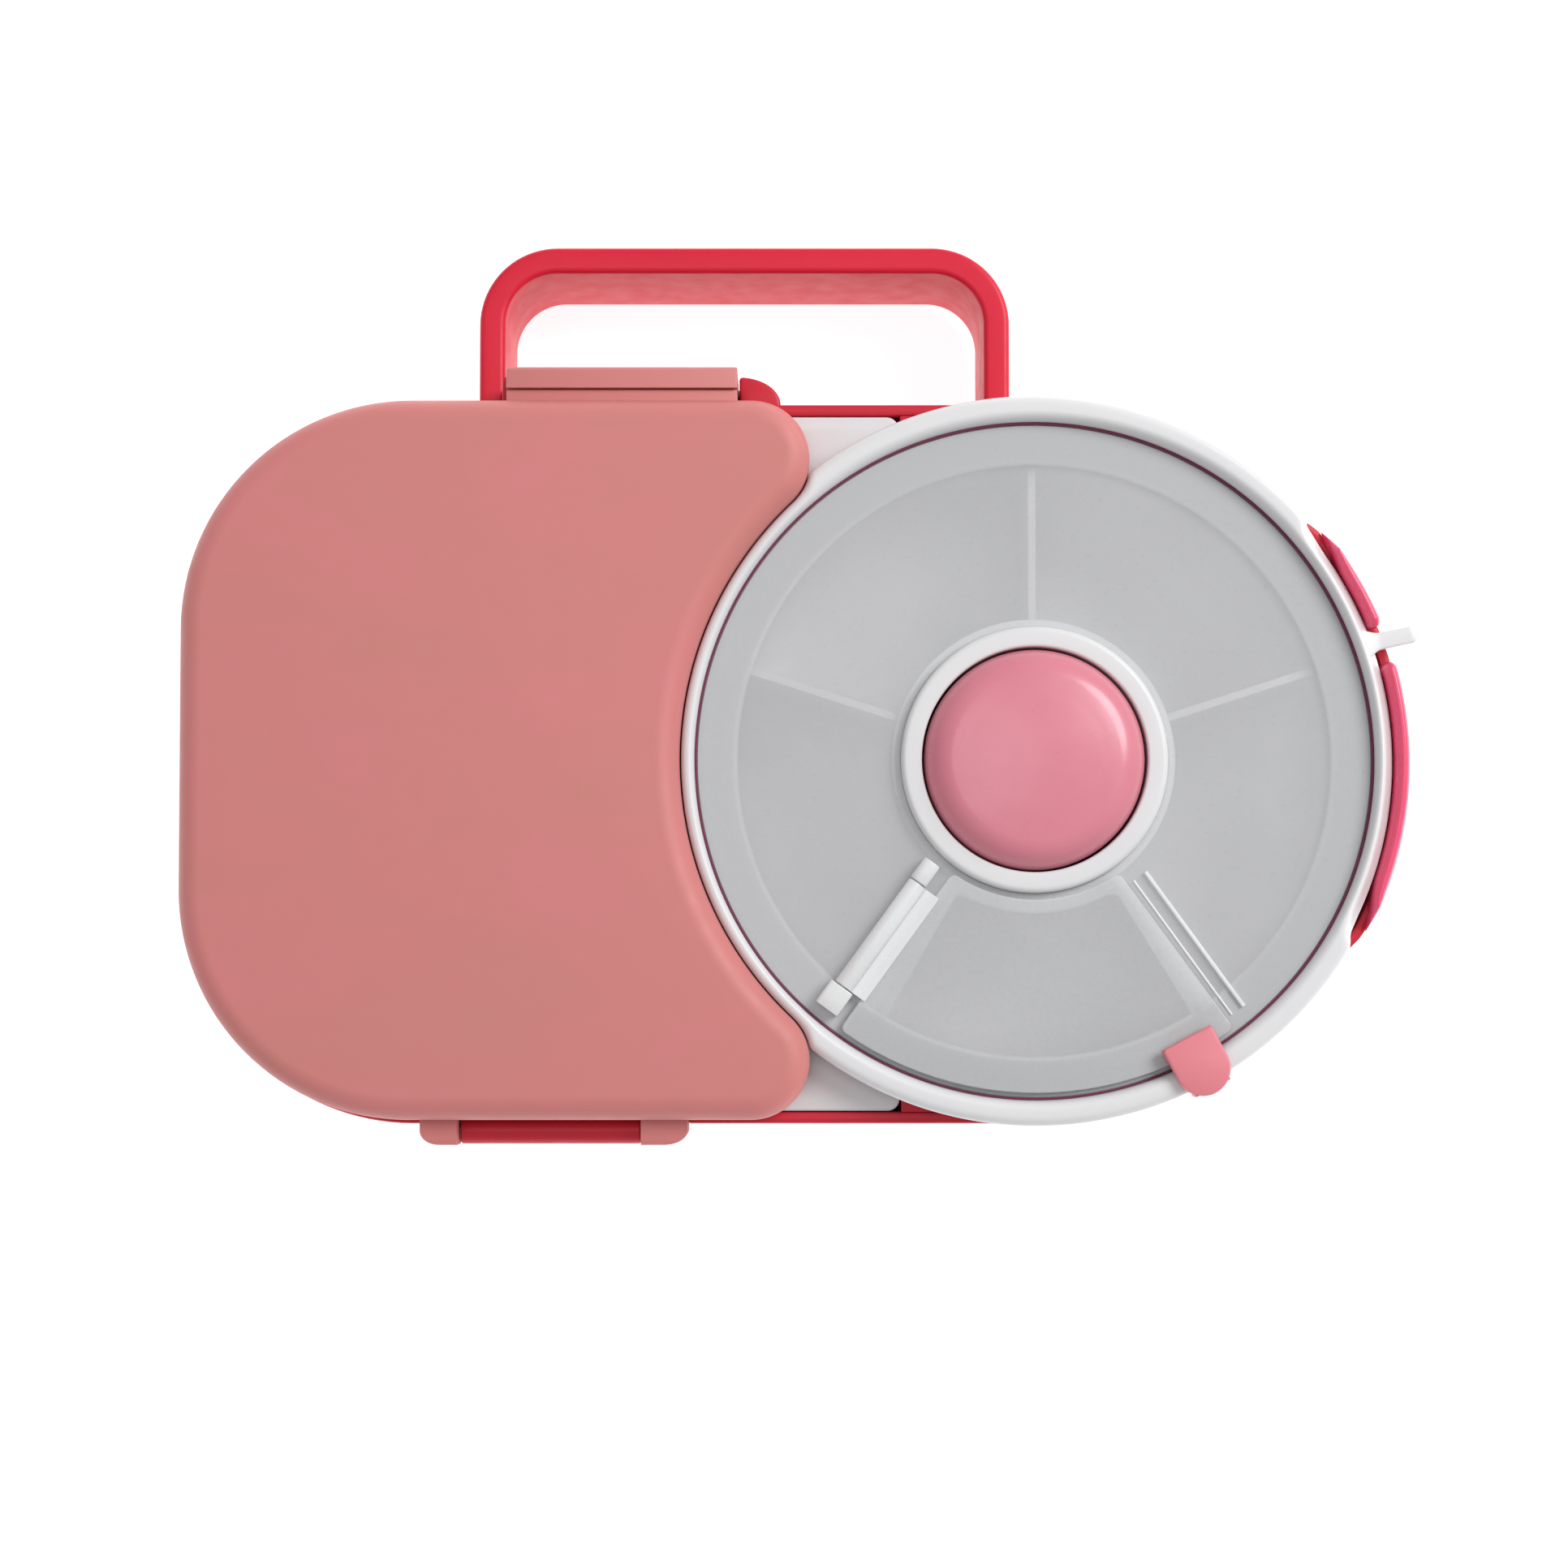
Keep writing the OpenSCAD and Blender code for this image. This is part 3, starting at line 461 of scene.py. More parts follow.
class Nodes:
    """A short way to write a material's node tree."""

    def __init__(self, name):
        self.material = bpy.data.materials.new(name)
        self.material.use_nodes = True
        self.tree = self.material.node_tree
        self.shader = self.tree.nodes["Principled BSDF"]
        self.coords = self.add("ShaderNodeTexCoord").outputs["Object"]

    def add(self, kind, links=(), **values):
        node = self.tree.nodes.new(kind)
        for key, value in values.items():
            setattr(node, key, value)
        for socket, source in links:
            self.set(node, socket, source)
        return node

    def set(self, node, socket, source):
        if isinstance(source, bpy.types.NodeSocket):
            self.tree.links.new(source, node.inputs[socket])
        else:
            node.inputs[socket].default_value = source

    def noise(self, scale, detail=3.0, stretch=(1, 1, 1)):
        mapped = self.add("ShaderNodeMapping", [("Vector", self.coords), ("Scale", stretch)])
        return self.add("ShaderNodeTexNoise", [("Vector", mapped.outputs[0]), ("Scale", scale),
                                               ("Detail", detail)]).outputs["Fac"]

    def spread(self, source, low_value, high_value, low_in=0.3, high_in=0.7):
        return self.add("ShaderNodeMapRange", [("Value", source), ("From Min", low_in),
                        ("From Max", high_in), ("To Min", low_value), ("To Max", high_value)]).outputs[0]

    def mix(self, factor, a, b):
        return self.add("ShaderNodeMix", [(0, factor), (6, a), (7, b)], data_type="RGBA").outputs[2]

    def bump(self, height, strength, distance):
        node = self.add("ShaderNodeBump", [("Height", height), ("Strength", strength),
                                           ("Distance", distance)])
        self.tree.links.new(node.outputs[0], self.shader.inputs["Normal"])


def moulded(name, color, tint, rough, grain=2600.0, strength=0.3, coat=0.0, blotch=24.0, gloss=0.5):
    """Injection-moulded plastic: spark-eroded grain, faint flow marks and uneven gloss."""
    n = Nodes(name)
    flow = n.noise(blotch, 4.0, (1, 1.5, 1))
    n.set(n.shader, "Base Color", n.mix(n.spread(flow, 0.0, 1.0), color, tint))
    n.set(n.shader, "Roughness", n.spread(n.noise(grain / 12, 3.0), rough - 0.05, rough + 0.06))
    n.bump(n.noise(grain, 2.0), strength, 0.00002)
    n.shader.inputs["IOR"].default_value = 1.5
    n.shader.inputs["Specular IOR Level"].default_value = gloss
    n.shader.inputs["Coat Weight"].default_value = coat
    n.shader.inputs["Coat Roughness"].default_value = 0.15
    return n.material


def soft_rubber(name, color, rough=0.7):
    """Silicone or rubber: a dry skin with a little sheen."""
    n = Nodes(name)
    n.set(n.shader, "Base Color", n.mix(n.noise(60.0, 3.0), shade(color, 0.88), shade(color, 1.1)))
    n.set(n.shader, "Roughness", n.spread(n.noise(900.0), rough - 0.08, rough + 0.08))
    n.bump(n.noise(3200.0), 0.3, 0.00002)
    n.shader.inputs["Sheen Weight"].default_value = 0.15
    return n.material


def bright_steel(name):
    """Drawn steel wire or pin, with fine marks along it."""
    n = Nodes(name)
    marks = n.noise(400.0, 4.0, (1, 1, 9))
    n.set(n.shader, "Base Color", n.mix(marks, (0.52, 0.52, 0.54, 1), (0.70, 0.70, 0.72, 1)))
    n.set(n.shader, "Roughness", n.spread(marks, 0.22, 0.38))
    n.shader.inputs["Metallic"].default_value = 1.0
    n.bump(marks, 0.2, 0.00001)
    return n.material


def frosted(name, color, veil, edge, rough, rim=0.0):
    """Clear plastic with a milky skin, denser where it is seen at a shallow angle. With rim, in
    metres, a grey, nearly opaque band of painted shade begins that far from the spinner's axis."""
    n = Nodes(name)
    cloud = n.spread(n.noise(34.0, 3.0), 0.0, 1.0)
    pane_colour = n.mix(cloud, shade(color, 0.97), shade(color, 1.03))
    n.set(n.shader, "Roughness", n.spread(n.noise(700.0), rough - 0.04, rough + 0.05))
    facing = n.add("ShaderNodeLayerWeight", [("Blend", 0.35)]).outputs["Facing"]
    cover = n.spread(facing, veil, edge, 0.0, 1.0)
    if rim:
        axis = (CENTRE[0] * MM, CENTRE[1] * MM, 0)
        from_axis = n.add("ShaderNodeVectorMath", [(0, n.coords), (1, axis)], operation="SUBTRACT").outputs[0]
        level = n.add("ShaderNodeVectorMath", [(0, from_axis), (1, (1, 1, 0))],
                      operation="MULTIPLY").outputs[0]
        reach = n.add("ShaderNodeVectorMath", [(0, level)], operation="LENGTH").outputs["Value"]
        band = n.spread(reach, 0.0, 1.0, rim, rim + 0.0012)
        # Painted shade: this grey stands in for the shaded tray seen through the pane near its edge.
        pane_colour = n.mix(band, pane_colour, srgb(193, 194, 196))
        cover = n.spread(band, cover, 0.9, 0.0, 1.0)
    n.set(n.shader, "Base Color", pane_colour)
    n.set(n.shader, "Alpha", cover)
    n.shader.inputs["IOR"].default_value = 1.49
    return n.material


SALMON = moulded("salmon_matte", srgb(213, 127, 127), srgb(206, 129, 123), 0.5, gloss=0.4)
CRIMSON = moulded("crimson_satin", srgb(203, 40, 60), srgb(196, 36, 55), 0.4, gloss=0.3)
HANDLE_RED = moulded("handle_satin", srgb(221, 36, 62), srgb(214, 33, 58), 0.38, gloss=0.3)
GUARD_PINK = moulded("guard_gloss", srgb(240, 78, 118), srgb(234, 73, 112), 0.26, grain=1500.0,
                     strength=0.15, coat=0.3)
WHITE = moulded("white_satin", srgb(227, 227, 228), srgb(223, 223, 225), 0.38, strength=0.2)
TRAY_WHITE = moulded("tray_white", srgb(222, 220, 221), srgb(217, 215, 217), 0.45, strength=0.2)
INNER = moulded("inner_white", srgb(222, 223, 227), srgb(214, 215, 220), 0.45)
BUTTON_PINK = moulded("button_pink", srgb(224, 134, 150), srgb(217, 126, 143), 0.3, grain=2000.0, coat=0.35)
CLIP_PINK = moulded("clip_pink", srgb(230, 131, 141), srgb(224, 126, 136), 0.42)
# A real seal whose dark magenta colour is painted shade of the gap between window and ring.
SEAL_GAP_SHADE = soft_rubber("seal_silicone_painted_gap_shade", srgb(112, 34, 66))
SILICONE = soft_rubber("pale_silicone", srgb(228, 226, 224))
FOOT = soft_rubber("foot_rubber", srgb(92, 86, 88), 0.8)
STEEL = bright_steel("bright_steel")
# The last argument of both windows starts a grey band of painted shade near their edge.
CLEAR = frosted("frosted_window_painted_edge_shade", srgb(244, 245, 247), 0.32, 0.75, 0.3, rim=0.0608)
CLEAR_DOOR = frosted("frosted_door_painted_edge_shade", srgb(244, 245, 247), 0.31, 0.75, 0.28, rim=0.0608)
CLEAR_THICK = frosted("frosted_hinge", srgb(250, 251, 252), 0.74, 0.92, 0.25)


# ---------------------------------------------------------------- tub

def half_round_plan(x0, x1, y0, y1, steps=14):
    """A plan with a square end at x0 that fades into the wall at x1 along a quarter ellipse."""
    curve = [(x0 + (x1 - x0) * math.cos(t), y1[0] + (y1[1] - y1[0]) * math.sin(t))
             for t in (math.pi / 2 * k / steps for k in range(steps + 1))]
    return [(x0, y0), (x1, y0)] + curve


def tub():
    """The shell: one skin up its inside, over the rim and down its rounded outside."""
    lip, foot = 0.8, 3
    levels = [(WALL + foot - foot * math.sin(t), FLOOR_Z + foot * (1 - math.cos(t)))
              for t in (math.pi / 2 * k / 6 for k in range(7))]
    levels += [(WALL, RIM_Z - lip), (WALL - 0.24, RIM_Z - 0.24), (WALL - lip, RIM_Z),
               (lip, RIM_Z), (0.24, RIM_Z - 0.24), (0, RIM_Z - lip)]
    levels += edge_curve(FOOT_EDGE, 0, rising=False)
    shell = stack("tub_shell", body_outline, levels, CRIMSON)
    ear = prism("ear", [(-61.5, HALF_WID - 1), (FLAP[0] - 0.3, HALF_WID - 1),
                        (FLAP[0] - 0.3, LATCH_OUT), (-61.5, LATCH_OUT)], 32, RIM_Z, CRIMSON)
    wing = prism("wing", half_round_plan(FLAP[1] + 0.3, -3.5, HALF_WID - 1, (HALF_WID, LATCH_OUT)),
                 32, RIM_Z, CRIMSON)
    barrel = rod("barrel", (BARREL[0], HINGE.y, HINGE.z), (BARREL[1], HINGE.y, HINGE.z), HINGE_R, CRIMSON)
    pad = prism("pad", [(LID_EARS[0][0] - 2, -HALF_WID + 1.2), (LID_EARS[1][1] + 2, -HALF_WID + 1.2),
                        (LID_EARS[1][1] + 2, -HALF_WID + 3.6), (LID_EARS[0][0] - 2, -HALF_WID + 3.6)],
                HINGE.z - 9, HINGE.z - 0.4, CRIMSON)
    combine(shell, [soften(ear, 0.35, 2, 50), soften(wing, 0.7, 3, 50), barrel, pad])
    cuts = [rod("foot_seat", (x, y, -1), (x, y, 1), FOOT_R, CRIMSON, edge=0.01) for x, y in FOOT_SPOTS]
    cuts += [rod("relief", (x0, HINGE.y, HINGE.z), (x1, HINGE.y, HINGE.z), HINGE_R + 0.35, CRIMSON, edge=0.01)
             for x0, x1 in ((LID_EARS[0][0] - 0.3, BARREL[0]), (BARREL[1], LID_EARS[1][1] + 0.3))]
    cuts.append(rod("latch_bore", (-62.5, LATCH.y, LATCH.z), (-7.5, LATCH.y, LATCH.z), 1.2, CRIMSON,
                    edge=0.01))
    settle(combine(shell, cuts, "DIFFERENCE"), "tub", "crimson_plastic", "base_shell")


def seat_ledge():
    """Two steps inside the tub's wall that the spinner's rim stands over."""
    parts = []
    x0, wall_y, reach = high("bento_tray").x + 0.3, HALF_WID - WALL + 0.05, 70.2
    turn = math.degrees(math.acos((x0 - CENTRE[0]) / reach))
    outline = [(x0, wall_y), (CENTRE[0], wall_y)] + arc(CENTRE, reach, 90, turn, 16)
    for side in (1, -1):
        plan = [(x, side * y) for x, y in outline]
        parts.append(soften(prism("step", plan, RIM_Z - 1.8, RIM_Z - 0.2, CRIMSON), 0.2, 2, 50))
    settle(joined("seat_ledge", parts), "tub", "crimson_plastic")


def guard_section(angle, taper, squeeze):
    """The rim guard's section at an angle: a pillowed ridge. It thins from its inner side as taper
    falls, and from both sides as squeeze rises."""
    outer = tub_reach(angle) - 0.03
    width = max((outer - GUARD_IN) * taper, 0.08)
    half = width / 2 * (1 - 0.9 * squeeze)
    mid = outer - width / 2
    top = RIM_Z + 0.4 + (GUARD_TOP - RIM_Z - 0.4) * min(taper * 1.6, 1) * (1 - 0.35 * squeeze)
    shoulder = RIM_Z + (top - RIM_Z) * 0.4
    profile = [(mid - half, RIM_Z)]
    profile += [(mid - half * math.cos(t), shoulder + (top - shoulder) * math.sin(t))
                for t in (math.pi * k / 28 for k in range(29))]
    profile.append((mid + half, RIM_Z))
    return [(*polar(r, angle, CENTRE), z) for r, z in profile]


def rim_guard():
    """Two ridges with pointed far ends and round ends beside the tab's notch."""
    parts = []
    for start, end, tip_first in ((GUARD[0], NOTCH[0], True), (NOTCH[1], GUARD[1], False)):
        rings = []
        for k in range(121):
            angle = start + (end - start) * (0.5 - 0.5 * math.cos(math.pi * k / 120))
            to_tip = angle - start if tip_first else end - angle
            to_notch = end - angle if tip_first else angle - start
            point = math.sin(math.pi / 2 * min(to_tip / 9, 1))
            squeeze = 1 - math.sqrt(max(1 - (1 - min(to_notch / 1.5, 1)) ** 2, 0))
            rings.append(guard_section(angle, point, squeeze))
        parts.append(loft("ridge", rings, GUARD_PINK, sharp=math.radians(70)))
    settle(joined("rim_guard_ridges", parts), "tub", "rose_plastic", "rim_guard")


def handle():
    """A flat band bent to a U, with rounded edges."""
    x0, x1 = low("handle").x, high("handle").x
    y1 = high("handle").y
    z0, z1 = low("handle").z, high("handle").z
    band, bend = 5.5, 16.5
    mid = bend - band / 2
    path = [((x0 + band / 2, HALF_WID + 0.02), (-1, 0))]
    path += list(zip(arc((x0 + bend, y1 - bend), mid, 180, 90, 20), arc((0, 0), 1, 180, 90, 20)))
    path += list(zip(arc((x1 - bend, y1 - bend), mid, 90, 0, 20), arc((0, 0), 1, 90, 0, 20)))
    path += [((x1 - band / 2, HALF_WID + 0.02), (1, 0))]
    half_t, half_d = band / 2, (z1 - z0) / 2
    section = rounded([(-half_t, -half_d), (half_t, -half_d), (half_t, half_d), (-half_t, half_d)], 1.3, 6)
    rings = [[(x + nx * u, y + ny * u, (z0 + z1) / 2 + v) for u, v in section] for (x, y), (nx, ny) in path]
    settle(loft("carry_handle", rings, HANDLE_RED), "tub", "handle_plastic", "handle")


def feet():
    """Pads with three shallow rings moulded into their undersides."""
    parts = []
    for x, y in FOOT_SPOTS:
        profile = [(0, 1), (FOOT_R, 1), (FOOT_R, 0.3), (FOOT_R - 0.3, 0)]
        for k in range(3):
            r = 4.6 - 1.3 * k
            profile += [(r + 0.3, 0), (r, 0.25), (r - 0.3, 0)]
        parts.append(lathe("pad", profile + [(0, 0)], FOOT, (x, y), steps=48))
    settle(joined("foot_pads", parts), "tub", "foot_rubber", "non_slip_feet")


def wall_bar(name, start, end, z0, z1, material):
    """An inner wall of the lunch tray, with a filleted foot and a round top."""
    half, foot = 0.8, 2.5
    side = [(half + foot * (1 - math.sin(t)), z0 + foot * (1 - math.cos(t)))
            for t in (math.pi / 2 * k / 5 for k in range(6))]
    side += [(half * math.cos(t), z1 - half + half * math.sin(t))
             for t in (math.pi / 2 * k / 4 for k in range(5))]
    profile = [(half + foot, z0 - 0.4)] + side + [(-u, v) for u, v in reversed(side[:-1])] + \
        [(-half - foot, z0 - 0.4)]
    start, end = Vector(start), Vector(end)
    across = (end - start).normalized().orthogonal()
    rings = [[(*(p + across * u), v) for u, v in profile] for p in (start, end)]
    return loft(name, rings, material)


def lunch_tray():
    """The white insert: a flange, a basin with a rounded floor and the walls of its compartments."""
    skin, fillet = 1.6, 4
    floor = FLOOR_Z + skin
    body = stack("lunch_tray", basin_outline,
                 edge_curve(3, FLOOR_Z, False)[::-1] + [(0, TRAY_TOP - 0.5)], TRAY_WHITE)
    flange = stack("flange", flange_outline, slab(TRAY_TOP - 1.6, TRAY_TOP, 0.5), TRAY_WHITE)
    combine(body, [flange])
    hollow = [(skin + fillet * (1 - math.sin(t)), floor + fillet * (1 - math.cos(t)))
              for t in (math.pi / 2 * k / 7 for k in range(8))]
    hollow += [(skin, TRAY_TOP - 0.7), (skin - 0.2, TRAY_TOP - 0.2), (skin - 0.7, TRAY_TOP), (skin - 0.7, 50)]
    combine(body, [stack("hollow", basin_outline, hollow, TRAY_WHITE)], "DIFFERENCE")
    top, x0 = TRAY_TOP - 0.1, -62
    edge_y, mid_y, left = HALF_WID - 6.2, 14.8, -HALF_LEN + 6.2
    walls = [wall_bar("across", (x0, -edge_y), (x0, edge_y), floor, top, TRAY_WHITE),
             wall_bar("right", (x0, 0), (CENTRE[0] - 75.3, 0), floor, top, TRAY_WHITE),
             wall_bar("left", (left, mid_y), (x0, mid_y), floor, top, TRAY_WHITE)]
    settle(combine(body, walls), "tub", "white_plastic", "bento_tray")


# ---------------------------------------------------------------- lunch lid and latch

def lid_ear(x0, x1, out_x):
    """One ear of the lid hinge, rounded in plan towards its outer end."""
    out_y, top = HINGE.y - HINGE_R, LID_Z + 5
    profile = arc((HINGE.y, HINGE.z), HINGE_R, 59, -180, 24)
    profile += rounded([(out_y, LID_Z), (out_y, top), (-LID_HALF + 1.4, top), (-LID_HALF + 1.4, LID_Z)],
                       [0, 1.2, 0, 0], 6)
    ear = bar_x("ear", profile, x0, x1, SALMON)
    inner = x1 if out_x == x0 else x0
    plan = [(inner, out_y - 1), (inner, -LID_HALF + 4), (out_x, -LID_HALF + 4)]
    plan += [(out_x + (inner - out_x) * 0.55 * (1 - math.cos(t)), out_y + 3 * (1 - math.sin(t)))
             for t in (math.pi / 2 * k / 12 for k in range(13))]
    return combine(ear, [prism("plan", plan, HINGE.z - 5, LID_TOP, SALMON)], "INTERSECT")


def lid():
    """The lid's skin, with its rounded edge, hinge ears and the ledge the latch closes against."""
    levels = [(LID_T, LID_TOP - LID_T), (LID_T, LID_Z), (0.3, LID_Z), (0.0, LID_Z + 0.3)]
    levels += edge_curve(LID_EDGE, LID_TOP, steps=12)
    shell = stack("lunch_lid_shell", lid_outline, levels, SALMON)
    parts = [lid_ear(*ear) for ear in LID_EARS]
    inner, outer, top = LID_HALF - 1, HALF_WID + 1.2, LID_Z + 8.1
    base = LID_Z + 2.1
    ledge = rounded([(inner, base), (outer, base), (outer, top), (inner, top)], [0, 0.3, 0.3, 0])
    parts.append(bar_x("ledge", ledge, FLAP[0], FLAP[1], SALMON, 0.4))
    combine(shell, parts)
    bore = rod("bore", (BARREL[0] - 0.3, HINGE.y, HINGE.z), (BARREL[1] + 0.3, HINGE.y, HINGE.z),
               HINGE_R + 0.35, SALMON, edge=0.01)
    pin = rod("pin_bore", (LID_EARS[0][0] + 1.6, HINGE.y, HINGE.z), (LID_EARS[1][1] - 2.4, HINGE.y, HINGE.z),
              1.25, SALMON, edge=0.01)
    settle(combine(shell, [bore, pin], "DIFFERENCE"), "lunch_lid", "salmon_plastic", "lid_shell")


def latch():
    """The flap: a hinge roll, a flat face and a lip over the lid's edge."""
    lip_y = HALF_WID + 1.4
    profile = arc((LATCH.y, LATCH.z), LATCH_R, 110, 382, 30)
    profile += arc((LATCH_OUT - 1.1, FLAP_TOP - 1.1), 1.1, 0, 90, 8)
    profile += rounded([(lip_y, FLAP_TOP), (lip_y, FLAP_TOP - 4.5), (LATCH.y - 0.8, FLAP_TOP - 4.5)],
                       [0, 0, 0])
    flap = bar_x("latch_flap_shell", profile, FLAP[0], FLAP[1], SALMON, 0.5)
    bore = rod("bore", (FLAP[0] - 1, LATCH.y, LATCH.z), (FLAP[1] + 1, LATCH.y, LATCH.z), 1.25, SALMON,
               edge=0.01)
    settle(combine(flap, [bore], "DIFFERENCE"), "latch", "salmon_plastic", "latch_flap")


# ---------------------------------------------------------------- spinner, below its ring lid

def snack_tray():
    """The turning tray: five pockets with deep round feet about a hollow hub."""
    floor, fillet = SNACK_Z + 1.6, 9
    profile = [(6.6, SNACK_Z), (SNACK_R - 1, SNACK_Z), (SNACK_R, SNACK_Z + 1), (SNACK_R, SNACK_RIM - 0.4),
               (SNACK_R - 0.4, SNACK_RIM), (62.9, SNACK_RIM), (62.4, SNACK_RIM + 0.8),
               (61.9, SNACK_TOP - 0.5), (61.4, SNACK_TOP), (HUB_IN + 0.4, SNACK_TOP),
               (HUB_IN, SNACK_TOP - 0.4), (HUB_IN, floor + 2),
               (HUB_IN - 2, floor), (9.3, floor), (8.3, floor + 1), (8.3, SNACK_Z + 7), (6.6, SNACK_Z + 7)]
    body = lathe("snack_tray_shell", profile, TRAY_WHITE)
    pockets = []
    for k in range(5):
        a0 = 90 + 72 * k
        levels = [(fillet * (1 - math.sin(t)), floor + fillet * (1 - math.cos(t)))
                  for t in (math.pi / 2 * j / 10 for j in range(11))]
        levels += [(0, SNACK_TOP - 0.3), (-0.12, SNACK_TOP), (-0.12, 50)]

        def outline(inset, a0=a0):
            return sector_outline(a0, a0 + 72, HUB_OUT, SNACK_R - 1.6, inset, 2.5, DIVIDER_T / 2)
        pockets.append(stack("pocket", outline, levels, TRAY_WHITE))
    settle(combine(body, pockets, "DIFFERENCE"), "tray_rotor", "white_plastic", "snack_tray")


def button():
    """The push button: a low dome with a soft roll, a skirt and a guide tube."""
    roll, t = 7, 1.8
    dome_z = BUTTON_TOP - 8.4
    span, rise = BUTTON_R - roll, BUTTON_TOP - dome_z - roll
    dome_r = (span ** 2 + rise ** 2) / (2 * rise)
    tilt = math.degrees(math.asin(span / dome_r))
    profile = [(0, CROWN_Z), (6.55, CROWN_Z), (6.55, 28), (8.3, 28), (8.3, CROWN_Z),
               (BUTTON_R - t, CROWN_Z), (BUTTON_R - t, BUTTON_SKIRT), (BUTTON_R, BUTTON_SKIRT)]
    profile += arc((BUTTON_R - roll, dome_z), roll, 0, 90 - tilt, 12)
    profile += [(dome_r * math.sin(math.radians(a)), BUTTON_TOP - dome_r * (1 - math.cos(math.radians(a))))
                for a in (tilt * (1 - i / 14) for i in range(1, 14))]
    settle(lathe("button_cap", profile + [(0, BUTTON_TOP)], BUTTON_PINK), "button", "button_plastic",
           "push_button")


def spring():
    """The coil under the button."""
    wire, coil, turns, per_turn, sides = 0.45, 3.5, 9, 32, 10
    z0, z1 = low("button_spring").z + wire, high("button_spring").z - wire
    rings = []
    for i in range(turns * per_turn + 1):
        a = 2 * math.pi * i / per_turn
        z = z0 + (z1 - z0) * i / (turns * per_turn)
        rings.append([(CENTRE[0] + (coil + wire * math.cos(b)) * math.cos(a),
                       CENTRE[1] + (coil + wire * math.cos(b)) * math.sin(a), z + wire * math.sin(b))
                      for b in (2 * math.pi * j / sides for j in range(sides))])
    coil_obj = settle(loft("spring_coil", rings, STEEL), "housing", "steel", "button_spring")
    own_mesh(coil_obj)


# ---------------------------------------------------------------- spinner, its ring lid

def ring():
    """The white ring: crowned on top, trimmed along the lid and scooped out for a finger."""
    rings = []
    for i in range(480):
        angle = 360 * i / 480
        signed = (angle + 180) % 360 - 180
        outer = min(RING_R, lid_limit(angle))
        low_clear = (smooth(signed, GUARD[0] - 4, GUARD[0] - 1.6)
                     - smooth(signed, GUARD[1] + 1.6, GUARD[1] + 4))
        scoop = smooth(signed, *SCOOP[0]) - smooth(signed, *SCOOP[1])
        outer = outer + (min(outer, GUARD_CLEAR) - outer) * low_clear
        soft = min(1.9, (outer - RING_IN) * 0.55)
        section = [(RING_IN, LEDGE_Z), (65.2, LEDGE_Z), (65.2, RING_Z - 3.6), (66.9, RING_Z - 3.6),
                   (66.9, RING_Z), (outer - 0.3, RING_Z), (outer, RING_Z + 0.3)]
        for k in range(9):
            t = k / 8
            plain = (outer - soft * (1 - math.cos(math.pi / 2 * t)),
                     RING_TOP - soft * (1 - math.sin(math.pi / 2 * t)))
            ease = t * t * (3 - 2 * t)
            cut = (outer - (outer - SCOOP_IN) * t,
                   RING_Z + 1.4 + (RING_TOP - 0.2 - RING_Z - 1.4) * (0.35 * t + 0.65 * ease))
            section.append((plain[0] + (cut[0] - plain[0]) * scoop, plain[1] + (cut[1] - plain[1]) * scoop))
        roll, foot = min(2.0, (outer - RING_IN) * 0.42) - 0.5 * scoop, LEDGE_Z + 2
        section += [(RING_IN + roll * (1 - math.sin(t)), foot + (RING_TOP - foot) * math.cos(t))
                    for t in (math.pi / 2 * k / 8 for k in range(9))]
        rings.append([(*polar(r, angle, CENTRE), z) for r, z in section])
    settle(loft("ring_cover", rings, WHITE, closed=True), "ring_lid", "white_plastic", "spinner_ring")


def pull_tab():
    """The finger tab: its root flares out of the ring and its end is cut a little askew."""
    root = Vector(polar(71.3, 19.4, CENTRE))
    rings = []
    for k in range(29):
        x = -0.3 + 11.9 * k / 28
        flare = 1 - smooth(x, -0.3, 4.2)
        heading = math.radians(12 + 7.4 * flare)
        end = smooth(x, 10.9, 11.6)
        half = 1.75 + 1.6 * flare - 0.45 * end
        height = 2.2 + 0.9 * flare - 0.5 * end
        skew = 0.10 * smooth(x, 8, 11.6)
        out = Vector((math.cos(math.radians(12)), math.sin(math.radians(12))))
        side = Vector((-math.sin(heading + skew), math.cos(heading + skew)))
        z0 = RING_Z + 1.2 + 0.25 * end
        section = rounded([(-half, z0), (half, z0), (half, z0 + height), (-half, z0 + height)], 0.45, 4)
        rings.append([(*(root + out * x + side * u), v) for u, v in section])
    settle(loft("pull_tab_grip", rings, WHITE), "ring_lid", "white_plastic", "pull_tab")


def seal():
    """The seal: a thin lip between the window and the ring. Its dark magenta is painted shade of the narrow
    gap there.
    """
    z, top = LEDGE_Z, LEDGE_Z + 2.3
    profile = rounded([(WINDOW_R, z), (RING_IN, z), (RING_IN, top), (WINDOW_R, top)], [0, 0, 0.15, 0.2], 4)
    settle(lathe("seal_lip", profile, SEAL_GAP_SHADE), "ring_lid", "magenta_seal", "window_seal")


def collar():
    z = RING_TOP
    profile = rounded([(COLLAR_IN, LEDGE_Z - 1.2), (COLLAR_FLANGE_R, LEDGE_Z - 1.2),
                       (COLLAR_FLANGE_R, LEDGE_Z), (COLLAR_R, LEDGE_Z),
                       (COLLAR_R, z - 0.8), (COLLAR_IN, z - 0.8)], [0, 0, 0, 0, 1.2, 0.6], 6)
    settle(lathe("hub_collar_ring", profile, WHITE), "ring_lid", "white_plastic", "hub_collar")


